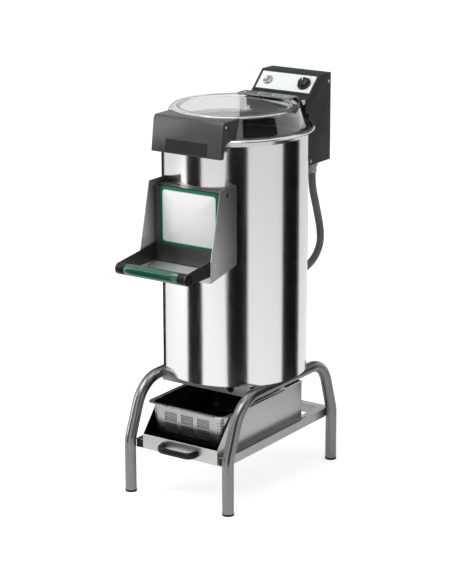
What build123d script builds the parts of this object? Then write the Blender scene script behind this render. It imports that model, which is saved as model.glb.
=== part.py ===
from build123d import *
import os
from math import atan2, cos, degrees, radians, sin, sqrt, tan

# Electric potato peeler on a bent-tube stand: a steel drum with an abrasive turntable, a clear lid,
# a discharge chute with a swing-up door, a control box behind the drum and a filter drawer below.
# Millimetres, +Z up, front towards -Y. Origin: on the floor, in the middle of the four legs.

# ---------------------------------------------------------------- driving dimensions
# food pan: half-size gastronorm, short side to the front; the drawer and the stand are set round it
pan_width = 265.0
pan_length = 325.0
pan_depth = 100.0
pan_rim = 12.0
pan_sheet = 1.0
pan_corner = 30.0
pan_taper = 6.0              # how far each wall leans in towards the bottom
pan_set_back = 21.0          # behind the drawer's front

# drawer
pan_overhang = 8.5           # pan rim beyond each drawer side
drawer_sheet = 1.5
drawer_length = 422.0
drawer_depth = 126.5
drawer_face = 41.0           # height of the front panel
drawer_slope = 72.0          # length of the sides' sloping front edge
drawer_lip = 5.0             # outward lip along the top of each side
drawer_rise = 1.5            # drawer bottom above the rails' underside
drawer_play = 1.0            # gap to each side rail
drawer_set_back = 6.0        # drawer front behind the front legs' centres
runner_width = 17.0
handle_span = 128.0
handle_reach = 30.0
handle_bar = 13.0
handle_bend = 15.0
outlet_dia = 50.0
outlet_wall = 2.0
outlet_length = 40.0

# stand
tube_dia = 32.0
tube_wall = 1.5
cap_height = 6.0             # visible part of each foot cap
cap_lip = 0.4                # foot cap proud of the tube
leg_spacing_y = 526.0        # leg centres, front to back
rail_top = 154.0
rail_size = 25.0             # square shelf rails
rail_wall = 1.5
rail_notch = 3.0             # how far a leg reaches over its side rail
knee_drop = 1.0              # the legs start to lean this far below the rails' top
knee_radius = 70.0
front_lean = 21.8            # degrees
rear_lean = 17.8             # degrees
front_bend = 103.0           # centreline radius of the front top bend
rear_bend = 87.0             # centreline radius of the rear top bend
deck_clear = 66.0            # drawer top to the top of the stand tubes
deck_plate = 5.0             # base plate under the drum
cross_sheet = 2.0            # folded cross plates between the arches
cross_drop = 32.0            # height of a cross plate's hanging flange
cross_flange = 22.0          # depth of a cross plate's top flange
grommet_x = 82.0             # cable hole in the front cross plate
grommet_hole = 16.0
grommet_lip = 3.0
grommet_wall = 2.0

# drive, stacked upwards from the base plate
motor_gap = 14.0             # base plate to motor
motor_dia = 124.0
motor_length = 174.0
motor_chamfer = 8.0
motor_flange = 140.0
motor_flange_thick = 9.0
motor_shaft_dia = 19.0
motor_shaft_seat = 20.0      # length of the motor shaft inside the motor
motor_plate_lap = 8.0        # plate beyond the motor flange
motor_plate_thick = 6.0
post_dia = 14.0
post_length = 87.0
post_inset = 15.0            # post centres inside the motor flange's edge
post_spread = 75.0           # degrees between the posts, seen from the motor
belt_angle = 135.0           # direction from the drum axis to the motor, degrees
belt_centres = 104.0
belt_width = 12.0
belt_thick = 5.0
pulley_rise = 9.0            # pulleys above the motor plate
pulley_width = 18.0
pulley_dia = 120.0           # belt line of the driven pulley
motor_pulley_dia = 46.0      # belt line of the motor pulley
shaft_dia = 25.0
shaft_tail = 10.0            # shaft below the driven pulley
bearing_dia = 47.0
bearing_width = 12.0
housing_wall = 9.0
housing_length = 44.0
housing_flange = 116.0
housing_flange_thick = 8.0
seal_height = 7.0

# drum
drum_y = 12.0                # drum axis, behind the middle of the stand
drum_dia = 400.0
drum_wall = 1.5
chamber_height = 388.0       # underside of the chamber floor to the top of the rim
rim_overhang = 17.0
rim_depth = 20.0
rim_ledge = 6.0              # width of the seat inside the rolled edge
rim_ledge_drop = 5.0
lining_thick = 7.0           # abrasive lining of the peeling chamber
lining_stop = 24.0           # lining top below the rim's underside
floor_thick = 3.0
floor_lip = 16.0             # upturned edge that is riveted to the drum
mouth_width = 176.0          # discharge opening
mouth_height = 182.0
mouth_sill = 40.0            # opening above the turntable's underside
mouth_corner = 8.0
drain_reach = 92.0           # drain spout, in front of the drum axis
drain_dia = 52.0
drain_wall = 1.5
drain_drop = 33.0            # spout below the top of the stand tubes
inlet_x = -130.0             # water inlet, behind the drum on the left
inlet_drop = 66.0            # below the rim's top
inlet_dia = 26.4             # three-quarter-inch pipe thread
inlet_thread = 16.0
inlet_hex = 32.0

# turntable
disc_gap = 8.5               # to the lining
disc_rise = 13.0             # underside above the chamber floor
disc_thick = 9.0
hub_dia = 70.0
hub_clear = 3.0
grit_thick = 3.0             # abrasive layer on the turntable
wave_count = 3               # raised ridges that toss the potatoes
wave_width = 26.0
wave_height = 9.0
wave_margin = 6.0
cap_dia = 62.0
cap_thick = 5.0

# chute and door
cheek_gap = 228.0            # clear width between the chute's side cheeks
cheek_thick = 2.0
cheek_over = 26.0            # cheek top above the discharge opening
cheek_reach = 21.0           # top front corner in front of the door
cheek_toe_reach = 67.0       # front foot in front of the door
cheek_toe_drop = 33.0        # below the discharge opening
cheek_heel_drop = 8.0
cheek_knee_rise = 59.0       # height of the front foot's upright edge
chute_sheet = 1.5
door_stand_off = 17.0        # door face in front of the drum
door_sheet = 1.5
door_lap = 14.0              # door beyond the opening, above and below
door_gap = 2.5               # closed door's edges to the drum
door_floor_gap = 2.0
door_play = 2.0              # arm to cheek
mouth_seal_width = 5.0
mouth_seal_thick = 2.0
hinge_back = 6.5             # hinge axis behind the door's face
hinge_drop = 4.0             # hinge axis below the door's top
hinge_pin_dia = 6.0
hinge_head_dia = 12.0
hinge_head = 3.5
hinge_pin_engage = 6.0
arm_thick = 3.0
arm_lap = 12.0               # arm behind the door's face
arm_height = 49.0
bar_reach = 163.0            # handle bar in front of the door
bar_rise = 13.0
bar_dia = 32.0
grip_length = 174.0          # coloured sleeve of the handle bar
label_width = 186.0
label_low = 57.0             # label above the door's foot
label_drop = 13.0            # label below the door's top
label_corner = 9.0
label_thick = 0.6

# lid
lid_height = 61.0            # above the rim's ledge
lid_inset = 7.0              # foot of the cone inside the drum's radius
lid_taper = 15.0             # top edge inside the foot
lid_wall = 3.5
lid_shoulder = 6.0
dish_edge = 28.0             # width of the raised border round the dished middle
dish_depth = 4.0
dish_step = 4.0
bay_drop = 7.6               # bay roof below the lid's top
bay_reach = 10.2             # bay front in front of the drum
bay_depth = 88.0
cover_width = 224.0          # black front cover with the hand grip
cover_clear = 14.0           # cover's foot in front of the rolled rim
cover_thick = 4.0
cover_hang = 44.0            # below the rim's top
cover_lean = 12.0            # top of the face behind its foot
cover_bevel = 7.0
cover_bevel_drop = 4.0
cover_return = 38.0          # depth of the side returns
cover_return_foot = 15.0
cover_side = 2.0             # thickness of the side returns
pad_width = 134.0
pad_height = 34.0
pad_rise = 4.0
pad_thick = 1.0
lid_axis_in = 4.0            # hinge axis inside the drum's radius
lid_axis_drop = 16.0         # below the lid's top
lid_pin_dia = 8.0
knuckle_wall = 3.5
strap_thick = 3.0
strap_length = 58.0
lug_width = 30.0
ear_gap = 5.0                # lug to ear
ear_inset = 5.0              # ear inside the control box's side
ear_thick = 3.0
ear_foot = 11.0
pin_head_dia = 14.0
pin_head = 4.0

# control box
box_width = 196.0
box_sheet = 1.5
box_height = 248.0
box_depth = 115.0
box_gap = 3.0                # box to the rolled rim
hood_gap = 0.5               # hood to the lid's knuckles
hood_rise = 6.0              # hood above the rim
hood_height = 38.0
hood_ledge = 25.0
hood_ledge_rise = 7.5
panel_run = 54.0             # depth of the sloping panel
panel_rise = 52.5            # height of the sloping panel
panel_inset = 3.0            # panel inside the box's sides
panel_length = 70.0
panel_thick = 1.0
panel_corner = 3.0
control_inset = 38.0         # button and knob inside the box's sides
knob_dia = 40.0
knob_grip_dia = 30.0
knob_height = 17.0
knob_skirt = 4.0
spindle_dia = 6.0
spindle_hole = 10.0
timer_size = 38.0
timer_depth = 30.0
bezel_dia = 29.0
bezel_height = 6.0
button_dia = 20.0
button_height = 4.0
button_travel = 3.0
switch_depth = 26.0
contactor_width = 60.0
contactor_height = 84.0
contactor_depth = 50.0
spacer_z = 80.0
spacer_dia = 14.0
lid_switch_width = 30.0
lid_switch_height = 20.0
lid_switch_depth = 12.0

# conduit from the box to the drum
gland_dia = 26.0
gland_length = 28.0
gland_nut_dia = 36.0
gland_nut = 8.0
gland_reach = 80.0           # gland under the box, outside the drum's radius
gland_turn = 73.4            # direction of the conduit's plane from +X, degrees
conduit_dia = 22.0
conduit_straight = 39.0      # straight run under the upper gland
conduit_swing = 16.0         # outward swing of the next run, and the depth it ends at
conduit_fall = 96.0
conduit_bow = 118.0          # widest reach from the drum
conduit_turn = 97.0          # height of the widest point above the lower gland
conduit_heel = 12.0
conduit_heel_fall = 46.3
conduit_toe = 15.5
low_gland_drop = 70.0        # lower gland below the chamber floor

# fasteners
screw_dia = 9.0
screw_head = 2.5
screw_margin = 12.0          # from a sheet's edge to its screws
cheek_screw_in = 42.0        # upper cheek screw, behind the cheek's front edge
cheek_screw_low = 22.0       # lower cheek screw, behind the cheek's toe

# fits
running = 0.05               # radial clearance of a shaft in its bearing
soft_gap = 0.3               # gap between pieces that only rest near each other

# ---------------------------------------------------------------- derived dimensions
tube_r = tube_dia / 2
half_drawer = pan_width / 2 - pan_overhang
rail_inner_x = half_drawer + drawer_play
rail_outer_x = rail_inner_x + rail_size
rail_mid_x = rail_inner_x + rail_size / 2
rail_bottom = rail_top - rail_size
leg_x = rail_outer_x - rail_notch + tube_r
leg_y = leg_spacing_y / 2
knee_height = rail_top - knee_drop
drawer_bottom = rail_bottom + drawer_rise
drawer_top = drawer_bottom + drawer_depth
deck_height = drawer_top + deck_clear
drum_bottom = deck_height + deck_plate

motor_bottom = drum_bottom + motor_gap
motor_top = motor_bottom + motor_length
motor_plate_bottom = motor_top + motor_flange_thick
motor_plate_top = motor_plate_bottom + motor_plate_thick
floor_height = motor_plate_top + post_length
floor_top = floor_height + floor_thick
pulley_bottom = motor_plate_top + pulley_rise
housing_bottom = floor_height - housing_length

drum_r = drum_dia / 2
drum_inner = drum_r - drum_wall
rim_r = drum_r + rim_overhang
rim_top = floor_height + chamber_height
rim_bottom = rim_top - rim_depth
ledge_height = rim_top - rim_ledge_drop
lining_inner = drum_inner - lining_thick
disc_r = lining_inner - disc_gap
disc_height = floor_top + disc_rise
disc_top = disc_height + disc_thick
mouth_bottom = disc_height + mouth_sill
mouth_top = mouth_bottom + mouth_height
mouth_mid = mouth_bottom + mouth_height / 2

# The folded cross plates sit where the legs' bends run out into the level top run.
arch_rise = deck_height - tube_r - knee_height
front_run_y = -leg_y + arch_rise * tan(radians(front_lean)) + front_bend * tan(radians(90 - front_lean) / 2)
rear_run_y = leg_y - arch_rise * tan(radians(rear_lean)) - rear_bend * tan(radians(90 - rear_lean) / 2)

os.makedirs("parts", exist_ok=True)


def keep(builder, name):
    """Name a finished piece and write it out."""
    builder.part.label = name
    export_step(builder.part, f"parts/{name}.step")


def drum_plane(height):
    """A level plane on the drum axis."""
    return Plane((0, drum_y, height))


def drum_front(x, radius):
    """Y of the front of a cylinder on the drum axis, at the given x."""
    return drum_y - sqrt(radius ** 2 - x ** 2)


def side_plane(x):
    """A plane across X whose sketch axes are Y and Z."""
    return Plane((x, 0, 0), x_dir=(0, 1, 0), z_dir=(1, 0, 0))


def front_plane(y):
    """A plane across Y, facing the front, whose sketch axes are X and Z."""
    return Plane.XZ.offset(-y)


# Half sections of turned pieces on the drum axis are drawn here: sketch X is the radius, sketch Y is Z.
drum_section = Plane((0, drum_y, 0), x_dir=(1, 0, 0), z_dir=(0, -1, 0))
drum_axis = Axis((0, drum_y, 0), (0, 0, 1))


# ================================================================ stand
def build_arch(name, x):
    """One bent tube: front leg, top run and rear leg."""
    top_z = deck_height - tube_r
    route = [
        (x, -leg_y, cap_height),
        (x, -leg_y, knee_height),
        (x, -leg_y + arch_rise * tan(radians(front_lean)), top_z),
        (x, leg_y - arch_rise * tan(radians(rear_lean)), top_z),
        (x, leg_y, knee_height),
        (x, leg_y, cap_height),
    ]
    with BuildPart() as arch:
        with BuildLine() as path:
            FilletPolyline(*route, radius=[knee_radius, front_bend, rear_bend, knee_radius])
        with BuildSketch(Plane(route[0], z_dir=(0, 0, 1))):
            Circle(tube_r)
            Circle(tube_r - tube_wall, mode=Mode.SUBTRACT)
        sweep(path=path.line)
    keep(arch, name)


build_arch("left_leg_arch", -leg_x)
build_arch("right_leg_arch", leg_x)

# the front leg has leaned in a little at the rail's top, so the rail stops short by that much
knee_rise = knee_drop + knee_radius * tan(radians(front_lean / 2))
knee_shift = knee_radius - sqrt(knee_radius ** 2 - knee_rise ** 2)
rail_front_y = -leg_y + knee_shift + sqrt(tube_r ** 2 - (tube_r - rail_notch) ** 2)
rear_rail_front = leg_y - rail_size / 2
rail_mid_z = rail_top - rail_size / 2

with BuildPart() as tube_caps:
    with BuildSketch():
        with GridLocations(2 * leg_x, 2 * leg_y, 2, 2):
            Circle(tube_r + cap_lip)
    extrude(amount=cap_height)
    with BuildSketch(Plane.XY.offset(cap_height)):
        with GridLocations(2 * leg_x, 2 * leg_y, 2, 2):
            Circle(tube_r - tube_wall - running)
    extrude(amount=tube_r)
    with BuildSketch(front_plane(rail_front_y)):
        with Locations((-rail_mid_x, rail_mid_z), (rail_mid_x, rail_mid_z)):
            Rectangle(rail_size - 2 * rail_wall - 2 * running, rail_size - 2 * rail_wall - 2 * running)
    extrude(amount=-rail_size / 2)
keep(tube_caps, "tube_caps")


def build_rail(name, plane, centre, length):
    """Straight square tube, drawn across its end."""
    with BuildPart() as rail:
        with BuildSketch(plane):
            with Locations(centre):
                Rectangle(rail_size, rail_size)
                Rectangle(rail_size - 2 * rail_wall, rail_size - 2 * rail_wall, mode=Mode.SUBTRACT)
        extrude(amount=length)
    keep(rail, name)


side_rail_length = rear_rail_front - rail_front_y
build_rail("left_shelf_rail", front_plane(rear_rail_front), (-rail_mid_x, rail_mid_z), side_rail_length)
build_rail("right_shelf_rail", front_plane(rear_rail_front), (rail_mid_x, rail_mid_z), side_rail_length)
rear_rail_half = leg_x - tube_r
build_rail("rear_shelf_rail", side_plane(-rear_rail_half), (leg_y, rail_mid_z), 2 * rear_rail_half)

# folded sheets between the arches: a flange under the deck and a hanging face
with BuildPart() as cross_plates:
    for y, inward in ((front_run_y, 1), (rear_run_y, -1)):
        with BuildSketch(side_plane(-rear_rail_half)):
            with BuildLine():
                Polyline((y, deck_height), (y, deck_height - cross_drop),
                         (y + inward * cross_sheet, deck_height - cross_drop),
                         (y + inward * cross_sheet, deck_height - cross_sheet),
                         (y + inward * cross_flange, deck_height - cross_sheet),
                         (y + inward * cross_flange, deck_height), close=True)
            make_face()
        extrude(amount=2 * rear_rail_half)
    with BuildSketch(front_plane(front_run_y)):
        with Locations((grommet_x, deck_height - cross_drop / 2)):
            Circle(grommet_hole / 2)
    extrude(amount=-cross_sheet, mode=Mode.SUBTRACT)
keep(cross_plates, "cross_plates")

grommet_plane = Plane((grommet_x, front_run_y, deck_height - cross_drop / 2), z_dir=(0, -1, 0))
with BuildPart() as cable_grommet:
    with BuildSketch(grommet_plane):
        Circle(grommet_hole / 2 + grommet_lip)
    extrude(amount=grommet_wall)
    with BuildSketch(grommet_plane):
        Circle(grommet_hole / 2)
    extrude(amount=-cross_sheet)
    with BuildSketch(grommet_plane.offset(grommet_wall)):
        Circle(grommet_hole / 2 - grommet_wall)
    extrude(amount=-grommet_wall - cross_sheet, mode=Mode.SUBTRACT)
keep(cable_grommet, "cable_grommet")

with BuildPart() as base_plate:
    with BuildSketch(drum_plane(deck_height)):
        Circle(drum_inner - soft_gap)
        with Locations((0, -drain_reach)):
            Circle(drain_dia / 2 + soft_gap, mode=Mode.SUBTRACT)
    extrude(amount=deck_plate)
keep(base_plate, "base_plate")


# ================================================================ drum
def mouth_cut(growth):
    """Sketch of the discharge opening on the front, grown all round."""
    RectangleRounded(mouth_width + 2 * growth, mouth_height + 2 * growth, mouth_corner)


def build_drum_layer(name, outer, inner, bottom, top):
    """Thin cylinder on the drum axis with the discharge opening cut through its front."""
    with BuildPart() as layer:
        with BuildSketch(drum_plane(bottom)):
            Circle(outer)
            Circle(inner, mode=Mode.SUBTRACT)
        extrude(amount=top - bottom)
        with BuildSketch(front_plane(drum_y)):
            with Locations((0, mouth_mid)):
                mouth_cut(0)
        extrude(amount=outer + soft_gap, mode=Mode.SUBTRACT)
    keep(layer, name)


build_drum_layer("drum_shell", drum_r, drum_inner, deck_height, rim_bottom)
build_drum_layer("abrasive_lining", drum_inner, lining_inner, floor_top + floor_lip, rim_bottom - lining_stop)

# rolled rim: a seat for the lid inside, and a rounded edge that overhangs the drum
roll_r = (rim_overhang - rim_ledge / 2) / 2
with BuildPart() as drum_rim:
    with BuildSketch(drum_section):
        with BuildLine():
            Polyline((drum_inner, rim_bottom), (drum_r, rim_bottom), (rim_r - roll_r, ledge_height - roll_r))
            Line((drum_inner, rim_bottom), (drum_inner, ledge_height))
            Line((drum_inner, ledge_height), (drum_inner + rim_ledge, ledge_height))
            Line((drum_inner + rim_ledge, ledge_height), (rim_r - roll_r, rim_top))
            RadiusArc((rim_r - roll_r, rim_top), (rim_r, rim_top - roll_r), roll_r)
            Line((rim_r, rim_top - roll_r), (rim_r - roll_r, ledge_height - roll_r))
        make_face()
    revolve(axis=drum_axis)
keep(drum_rim, "drum_rim")

with BuildPart() as mouth_seal:
    with BuildSketch(drum_plane(mouth_bottom - mouth_seal_width)):
        Circle(drum_r + mouth_seal_thick)
        Circle(drum_r, mode=Mode.SUBTRACT)
    extrude(amount=mouth_height + 2 * mouth_seal_width)
    with BuildSketch(front_plane(drum_y)):
        with Locations((0, mouth_mid)):
            mouth_cut(mouth_seal_width)
    extrude(amount=drum_r + 2 * mouth_seal_thick, mode=Mode.INTERSECT)
    with BuildSketch(front_plane(drum_y)):
        with Locations((0, mouth_mid)):
            mouth_cut(0)
    extrude(amount=drum_r + 2 * mouth_seal_thick, mode=Mode.SUBTRACT)
keep(mouth_seal, "mouth_seal")

with BuildPart() as chamber_floor:
    with BuildSketch(drum_plane(floor_height)):
        Circle(drum_inner)
        Circle(shaft_dia / 2 + hub_clear, mode=Mode.SUBTRACT)
        with Locations((0, -drain_reach)):
            Circle(drain_dia / 2 - drain_wall, mode=Mode.SUBTRACT)
    extrude(amount=floor_thick)
    with BuildSketch(drum_plane(floor_top)):
        Circle(drum_inner)
        Circle(drum_inner - floor_thick, mode=Mode.SUBTRACT)
    extrude(amount=floor_lip)
keep(chamber_floor, "chamber_floor")

drain_bottom = deck_height - drain_drop
with BuildPart() as drain_spout:
    with BuildSketch(Plane((0, drum_y - drain_reach, drain_bottom))):
        Circle(drain_dia / 2)
        Circle(drain_dia / 2 - drain_wall, mode=Mode.SUBTRACT)
    extrude(amount=floor_height - drain_bottom)
keep(drain_spout, "drain_spout")

# threaded hose connection with its hexagon against the back of the drum
inlet_back = drum_y + sqrt(drum_r ** 2 - inlet_x ** 2) + inlet_hex / 2
inlet_plane = Plane((inlet_x, inlet_back, rim_top - inlet_drop), x_dir=(-1, 0, 0), z_dir=(0, 1, 0))
with BuildPart() as water_inlet:
    with BuildSketch(inlet_plane):
        RegularPolygon(inlet_hex / 2, 6, major_radius=False)
    extrude(amount=-inlet_hex)
    with BuildSketch(inlet_plane):
        Circle(inlet_dia / 2)
    extrude(amount=inlet_thread)
    with BuildSketch(drum_plane(rim_top - inlet_drop - inlet_hex)):
        Circle(drum_r)
    extrude(amount=2 * inlet_hex, mode=Mode.SUBTRACT)
    with BuildSketch(inlet_plane.offset(inlet_thread)):
        Circle(inlet_dia / 2 - 4)
    extrude(amount=-inlet_thread, mode=Mode.SUBTRACT)
keep(water_inlet, "water_inlet")

# ================================================================ turntable and drive
with BuildPart() as bearing_housing:
    with BuildSketch(drum_plane(housing_bottom)):
        Circle(bearing_dia / 2 + housing_wall)
    extrude(amount=housing_length)
    with BuildSketch(drum_plane(floor_height - housing_flange_thick)):
        Circle(housing_flange / 2)
    extrude(amount=housing_flange_thick)
    with BuildSketch(drum_plane(housing_bottom)):
        Circle(bearing_dia / 2)
    extrude(amount=housing_length, mode=Mode.SUBTRACT)
keep(bearing_housing, "bearing_housing")

with BuildPart() as shaft_bearings:
    for level in (housing_bottom, floor_height - seal_height - bearing_width):
        with BuildSketch(drum_plane(level)):
            Circle(bearing_dia / 2)
            Circle(shaft_dia / 2 + running, mode=Mode.SUBTRACT)
        extrude(amount=bearing_width)
keep(shaft_bearings, "shaft_bearings")

with BuildPart() as shaft_seal:
    with BuildSketch(drum_plane(floor_height - seal_height)):
        Circle(bearing_dia / 2)
        Circle(shaft_dia / 2 + soft_gap, mode=Mode.SUBTRACT)
    extrude(amount=seal_height)
keep(shaft_seal, "shaft_seal")

hub_bottom = floor_top + hub_clear
with BuildPart() as turntable:
    with BuildSketch(drum_plane(disc_height)):
        Circle(disc_r)
    extrude(amount=disc_thick)
    with BuildSketch(drum_plane(hub_bottom)):
        Circle(hub_dia / 2)
    extrude(amount=disc_height - hub_bottom)
    with BuildSketch(drum_plane(hub_bottom)):
        Circle(shaft_dia / 2)
    extrude(amount=disc_top - hub_bottom, mode=Mode.SUBTRACT)
keep(turntable, "turntable")

wave_length = disc_r - cap_dia / 2 - 2 * wave_margin
with BuildPart() as turntable_grit:
    with BuildSketch(drum_plane(disc_top)):
        Circle(disc_r)
        Circle(cap_dia / 2 + soft_gap, mode=Mode.SUBTRACT)
    extrude(amount=grit_thick)
    with BuildSketch(drum_plane(disc_top + grit_thick)):
        with PolarLocations(cap_dia / 2 + wave_margin + wave_length / 2, wave_count):
            RectangleRounded(wave_length, wave_width, wave_width / 3)
    extrude(amount=wave_height, taper=30)
keep(turntable_grit, "turntable_grit")

with BuildPart() as turntable_cap:
    with BuildSketch(drum_plane(disc_top)):
        Circle(cap_dia / 2)
    extrude(amount=cap_thick, taper=20)
keep(turntable_cap, "turntable_cap")

shaft_bottom = pulley_bottom - shaft_tail
with BuildPart() as main_shaft:
    with BuildSketch(drum_plane(shaft_bottom)):
        Circle(shaft_dia / 2)
    extrude(amount=disc_top - shaft_bottom)
keep(main_shaft, "main_shaft")

motor_x = belt_centres * cos(radians(belt_angle))
motor_y = drum_y + belt_centres * sin(radians(belt_angle))
pulley_lip = (pulley_width - belt_width) / 2 - soft_gap


def build_pulley(name, x, y, belt_line, bore):
    """Grooved pulley: two flanges with the belt line between them."""
    base = Plane((x, y, pulley_bottom))
    with BuildPart() as pulley:
        with BuildSketch(base):
            Circle(belt_line / 2)
        extrude(amount=pulley_width)
        for level in (0, pulley_width - pulley_lip):
            with BuildSketch(base.offset(level)):
                Circle(belt_line / 2 + belt_thick * 0.8)
            extrude(amount=pulley_lip)
        with BuildSketch(base):
            Circle(bore)
        extrude(amount=pulley_width, mode=Mode.SUBTRACT)
    keep(pulley, name)


build_pulley("driven_pulley", 0, drum_y, pulley_dia, shaft_dia / 2)
build_pulley("motor_pulley", motor_x, motor_y, motor_pulley_dia, motor_shaft_dia / 2)

belt_plane = Plane((0, drum_y, pulley_bottom + (pulley_width - belt_width) / 2),
                   x_dir=(cos(radians(belt_angle)), sin(radians(belt_angle)), 0), z_dir=(0, 0, 1))


def belt_outline(growth):
    """Sketch round both pulleys, grown from the belt line; the straight runs are common tangents."""
    big = pulley_dia / 2 + growth
    small = motor_pulley_dia / 2 + growth
    lean = (big - small) / belt_centres
    rise = sqrt(1 - lean ** 2)
    with BuildSketch(belt_plane) as outline:
        Circle(big)
        with Locations((belt_centres, 0)):
            Circle(small)
        with BuildLine():
            Polyline((big * lean, big * rise), (belt_centres + small * lean, small * rise),
                     (belt_centres + small * lean, -small * rise), (big * lean, -big * rise), close=True)
        make_face()
    return outline.sketch


belt_outside = belt_outline(belt_thick)
belt_inside = belt_outline(soft_gap)
with BuildPart() as drive_belt:
    extrude(belt_outside, amount=belt_width)
    extrude(belt_inside, amount=belt_width, mode=Mode.SUBTRACT)
keep(drive_belt, "drive_belt")

shaft_foot = motor_top - motor_shaft_seat
with BuildPart() as motor_body:
    with BuildSketch(Plane((motor_x, motor_y, motor_bottom))):
        Circle(motor_dia / 2)
    extrude(amount=motor_length)
    chamfer(motor_body.edges().sort_by(Axis.Z)[0], motor_chamfer)
    with BuildSketch(Plane((motor_x, motor_y, motor_top))):
        Circle(motor_flange / 2)
    extrude(amount=motor_flange_thick)
    with BuildSketch(Plane((motor_x, motor_y, shaft_foot))):
        Circle(motor_shaft_dia / 2 + running)
    extrude(amount=motor_shaft_seat + motor_flange_thick, mode=Mode.SUBTRACT)
keep(motor_body, "motor_body")

with BuildPart() as motor_shaft:
    with BuildSketch(Plane((motor_x, motor_y, shaft_foot + soft_gap))):
        Circle(motor_shaft_dia / 2)
    extrude(amount=pulley_bottom + pulley_width - shaft_foot - soft_gap)
keep(motor_shaft, "motor_shaft")

with BuildPart() as motor_plate:
    with BuildSketch(Plane((motor_x, motor_y, motor_plate_bottom))):
        Circle(motor_flange / 2 + motor_plate_lap)
        Circle(motor_shaft_dia / 2 + hub_clear, mode=Mode.SUBTRACT)
    extrude(amount=motor_plate_thick)
    with BuildSketch(drum_plane(motor_plate_bottom)):
        Circle(drum_inner - soft_gap)
    extrude(amount=motor_plate_thick, mode=Mode.INTERSECT)
    with BuildSketch(drum_plane(motor_plate_bottom)):
        Circle(shaft_dia / 2 + hub_clear)
    extrude(amount=motor_plate_thick, mode=Mode.SUBTRACT)
keep(motor_plate, "motor_plate")

with BuildPart() as plate_posts:
    with BuildSketch(Plane((motor_x, motor_y, motor_plate_top))):
        with PolarLocations(motor_flange / 2 - post_inset, 3, start_angle=belt_angle - post_spread,
                            angular_range=2 * post_spread, endpoint=True):
            Circle(post_dia / 2)
    extrude(amount=post_length)
keep(plate_posts, "plate_posts")

# ================================================================ chute
cheek_x = cheek_gap / 2
door_face_y = drum_y - drum_r - door_stand_off
toe_y = door_face_y - cheek_toe_reach
toe_z = mouth_bottom - cheek_toe_drop
heel_y = drum_front(cheek_x, drum_r)
heel_z = mouth_bottom - cheek_heel_drop
cheek_top = mouth_top + cheek_over
cheek_front = door_face_y - cheek_reach
door_bottom = mouth_bottom - door_lap
door_top = mouth_top + door_lap
hinge_y = door_face_y + hinge_back
hinge_z = door_top - hinge_drop


def build_cheek(name, start):
    """Flat side plate of the chute, fitted to the drum's wall, with the door's hinge hole."""
    with BuildPart() as cheek:
        with BuildSketch(side_plane(start)):
            with BuildLine():
                Polyline((cheek_front, cheek_top), (toe_y + cheek_thick, toe_z + cheek_knee_rise),
                         (toe_y, toe_z), (heel_y, heel_z), (drum_y, heel_z), (drum_y, cheek_top), close=True)
            make_face()
            with Locations((hinge_y, hinge_z)):
                Circle(hinge_pin_dia / 2, mode=Mode.SUBTRACT)
        extrude(amount=cheek_thick)
        with BuildSketch(drum_plane(toe_z)):
            Circle(drum_r)
        extrude(amount=cheek_top - toe_z, mode=Mode.SUBTRACT)
    keep(cheek, name)


build_cheek("left_chute_cheek", -cheek_x - cheek_thick)
build_cheek("right_chute_cheek", cheek_x)


def chute_height(y):
    """Height of the chute floor's top at the given y."""
    return toe_z + chute_sheet + (heel_z - toe_z) / (heel_y - toe_y) * (y - toe_y)


with BuildPart() as chute_floor:
    with BuildSketch(side_plane(-cheek_x)):
        with BuildLine():
            Polyline((toe_y, chute_height(toe_y)), (heel_y, chute_height(heel_y)), (heel_y, heel_z),
                     (toe_y, toe_z), close=True)
        make_face()
    extrude(amount=cheek_gap)
    with BuildSketch(drum_plane(toe_z)):
        Circle(drum_r)
    extrude(amount=cheek_top - toe_z, mode=Mode.SUBTRACT)
keep(chute_floor, "chute_floor")

# ================================================================ door
arm_outer_x = cheek_x - door_play
arm_inner_x = arm_outer_x - arm_thick
door_half = arm_inner_x
door_height = door_top - door_bottom
bar_y = door_face_y - bar_reach
bar_z = door_bottom + bar_rise

with BuildPart() as door_hinge_pins:
    for side in (-1, 1):
        with BuildSketch(side_plane(side * (door_half - hinge_pin_engage))):
            with Locations((hinge_y, hinge_z)):
                Circle(hinge_pin_dia / 2)
        extrude(amount=side * (cheek_x + cheek_thick - door_half + hinge_pin_engage))
        with BuildSketch(side_plane(side * (cheek_x + cheek_thick))):
            with Locations((hinge_y, hinge_z)):
                Circle(hinge_head_dia / 2)
        extrude(amount=side * hinge_head)
keep(door_hinge_pins, "door_hinge_pins")

# shallow tray: a flat face with edges turned back to the drum, cut to its curve and to the chute floor
with BuildPart() as door_panel:
    with BuildSketch(front_plane(drum_y)):
        with Locations((0, door_bottom + door_height / 2)):
            Rectangle(2 * door_half, door_height)
    extrude(amount=drum_y - door_face_y)
    with BuildSketch(front_plane(drum_y)):
        with Locations((0, door_bottom + door_height / 2)):
            Rectangle(2 * (door_half - door_sheet), door_height - 2 * door_sheet)
    extrude(amount=drum_y - door_face_y - door_sheet, mode=Mode.SUBTRACT)
    with BuildSketch(drum_plane(door_bottom)):
        Circle(drum_r + door_gap)
    extrude(amount=door_height, mode=Mode.SUBTRACT)
    with BuildSketch(side_plane(-door_half)):
        with BuildLine():
            Polyline((door_face_y, chute_height(door_face_y) + door_floor_gap),
                     (drum_y, chute_height(drum_y) + door_floor_gap),
                     (drum_y, door_bottom - door_lap), (door_face_y, door_bottom - door_lap), close=True)
        make_face()
        with Locations((hinge_y, hinge_z)):
            Circle(hinge_pin_dia / 2 + running)
    extrude(amount=2 * door_half, mode=Mode.SUBTRACT)
keep(door_panel, "door_panel")

label_height = door_height - label_low - label_drop
with BuildPart() as door_label:
    with BuildSketch(front_plane(door_face_y)) as label_face:
        with Locations((0, door_bottom + label_low + label_height / 2)):
            Rectangle(label_width, label_height)
        chamfer(label_face.vertices(), label_corner)
    extrude(amount=label_thick)
keep(door_label, "door_label")

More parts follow.
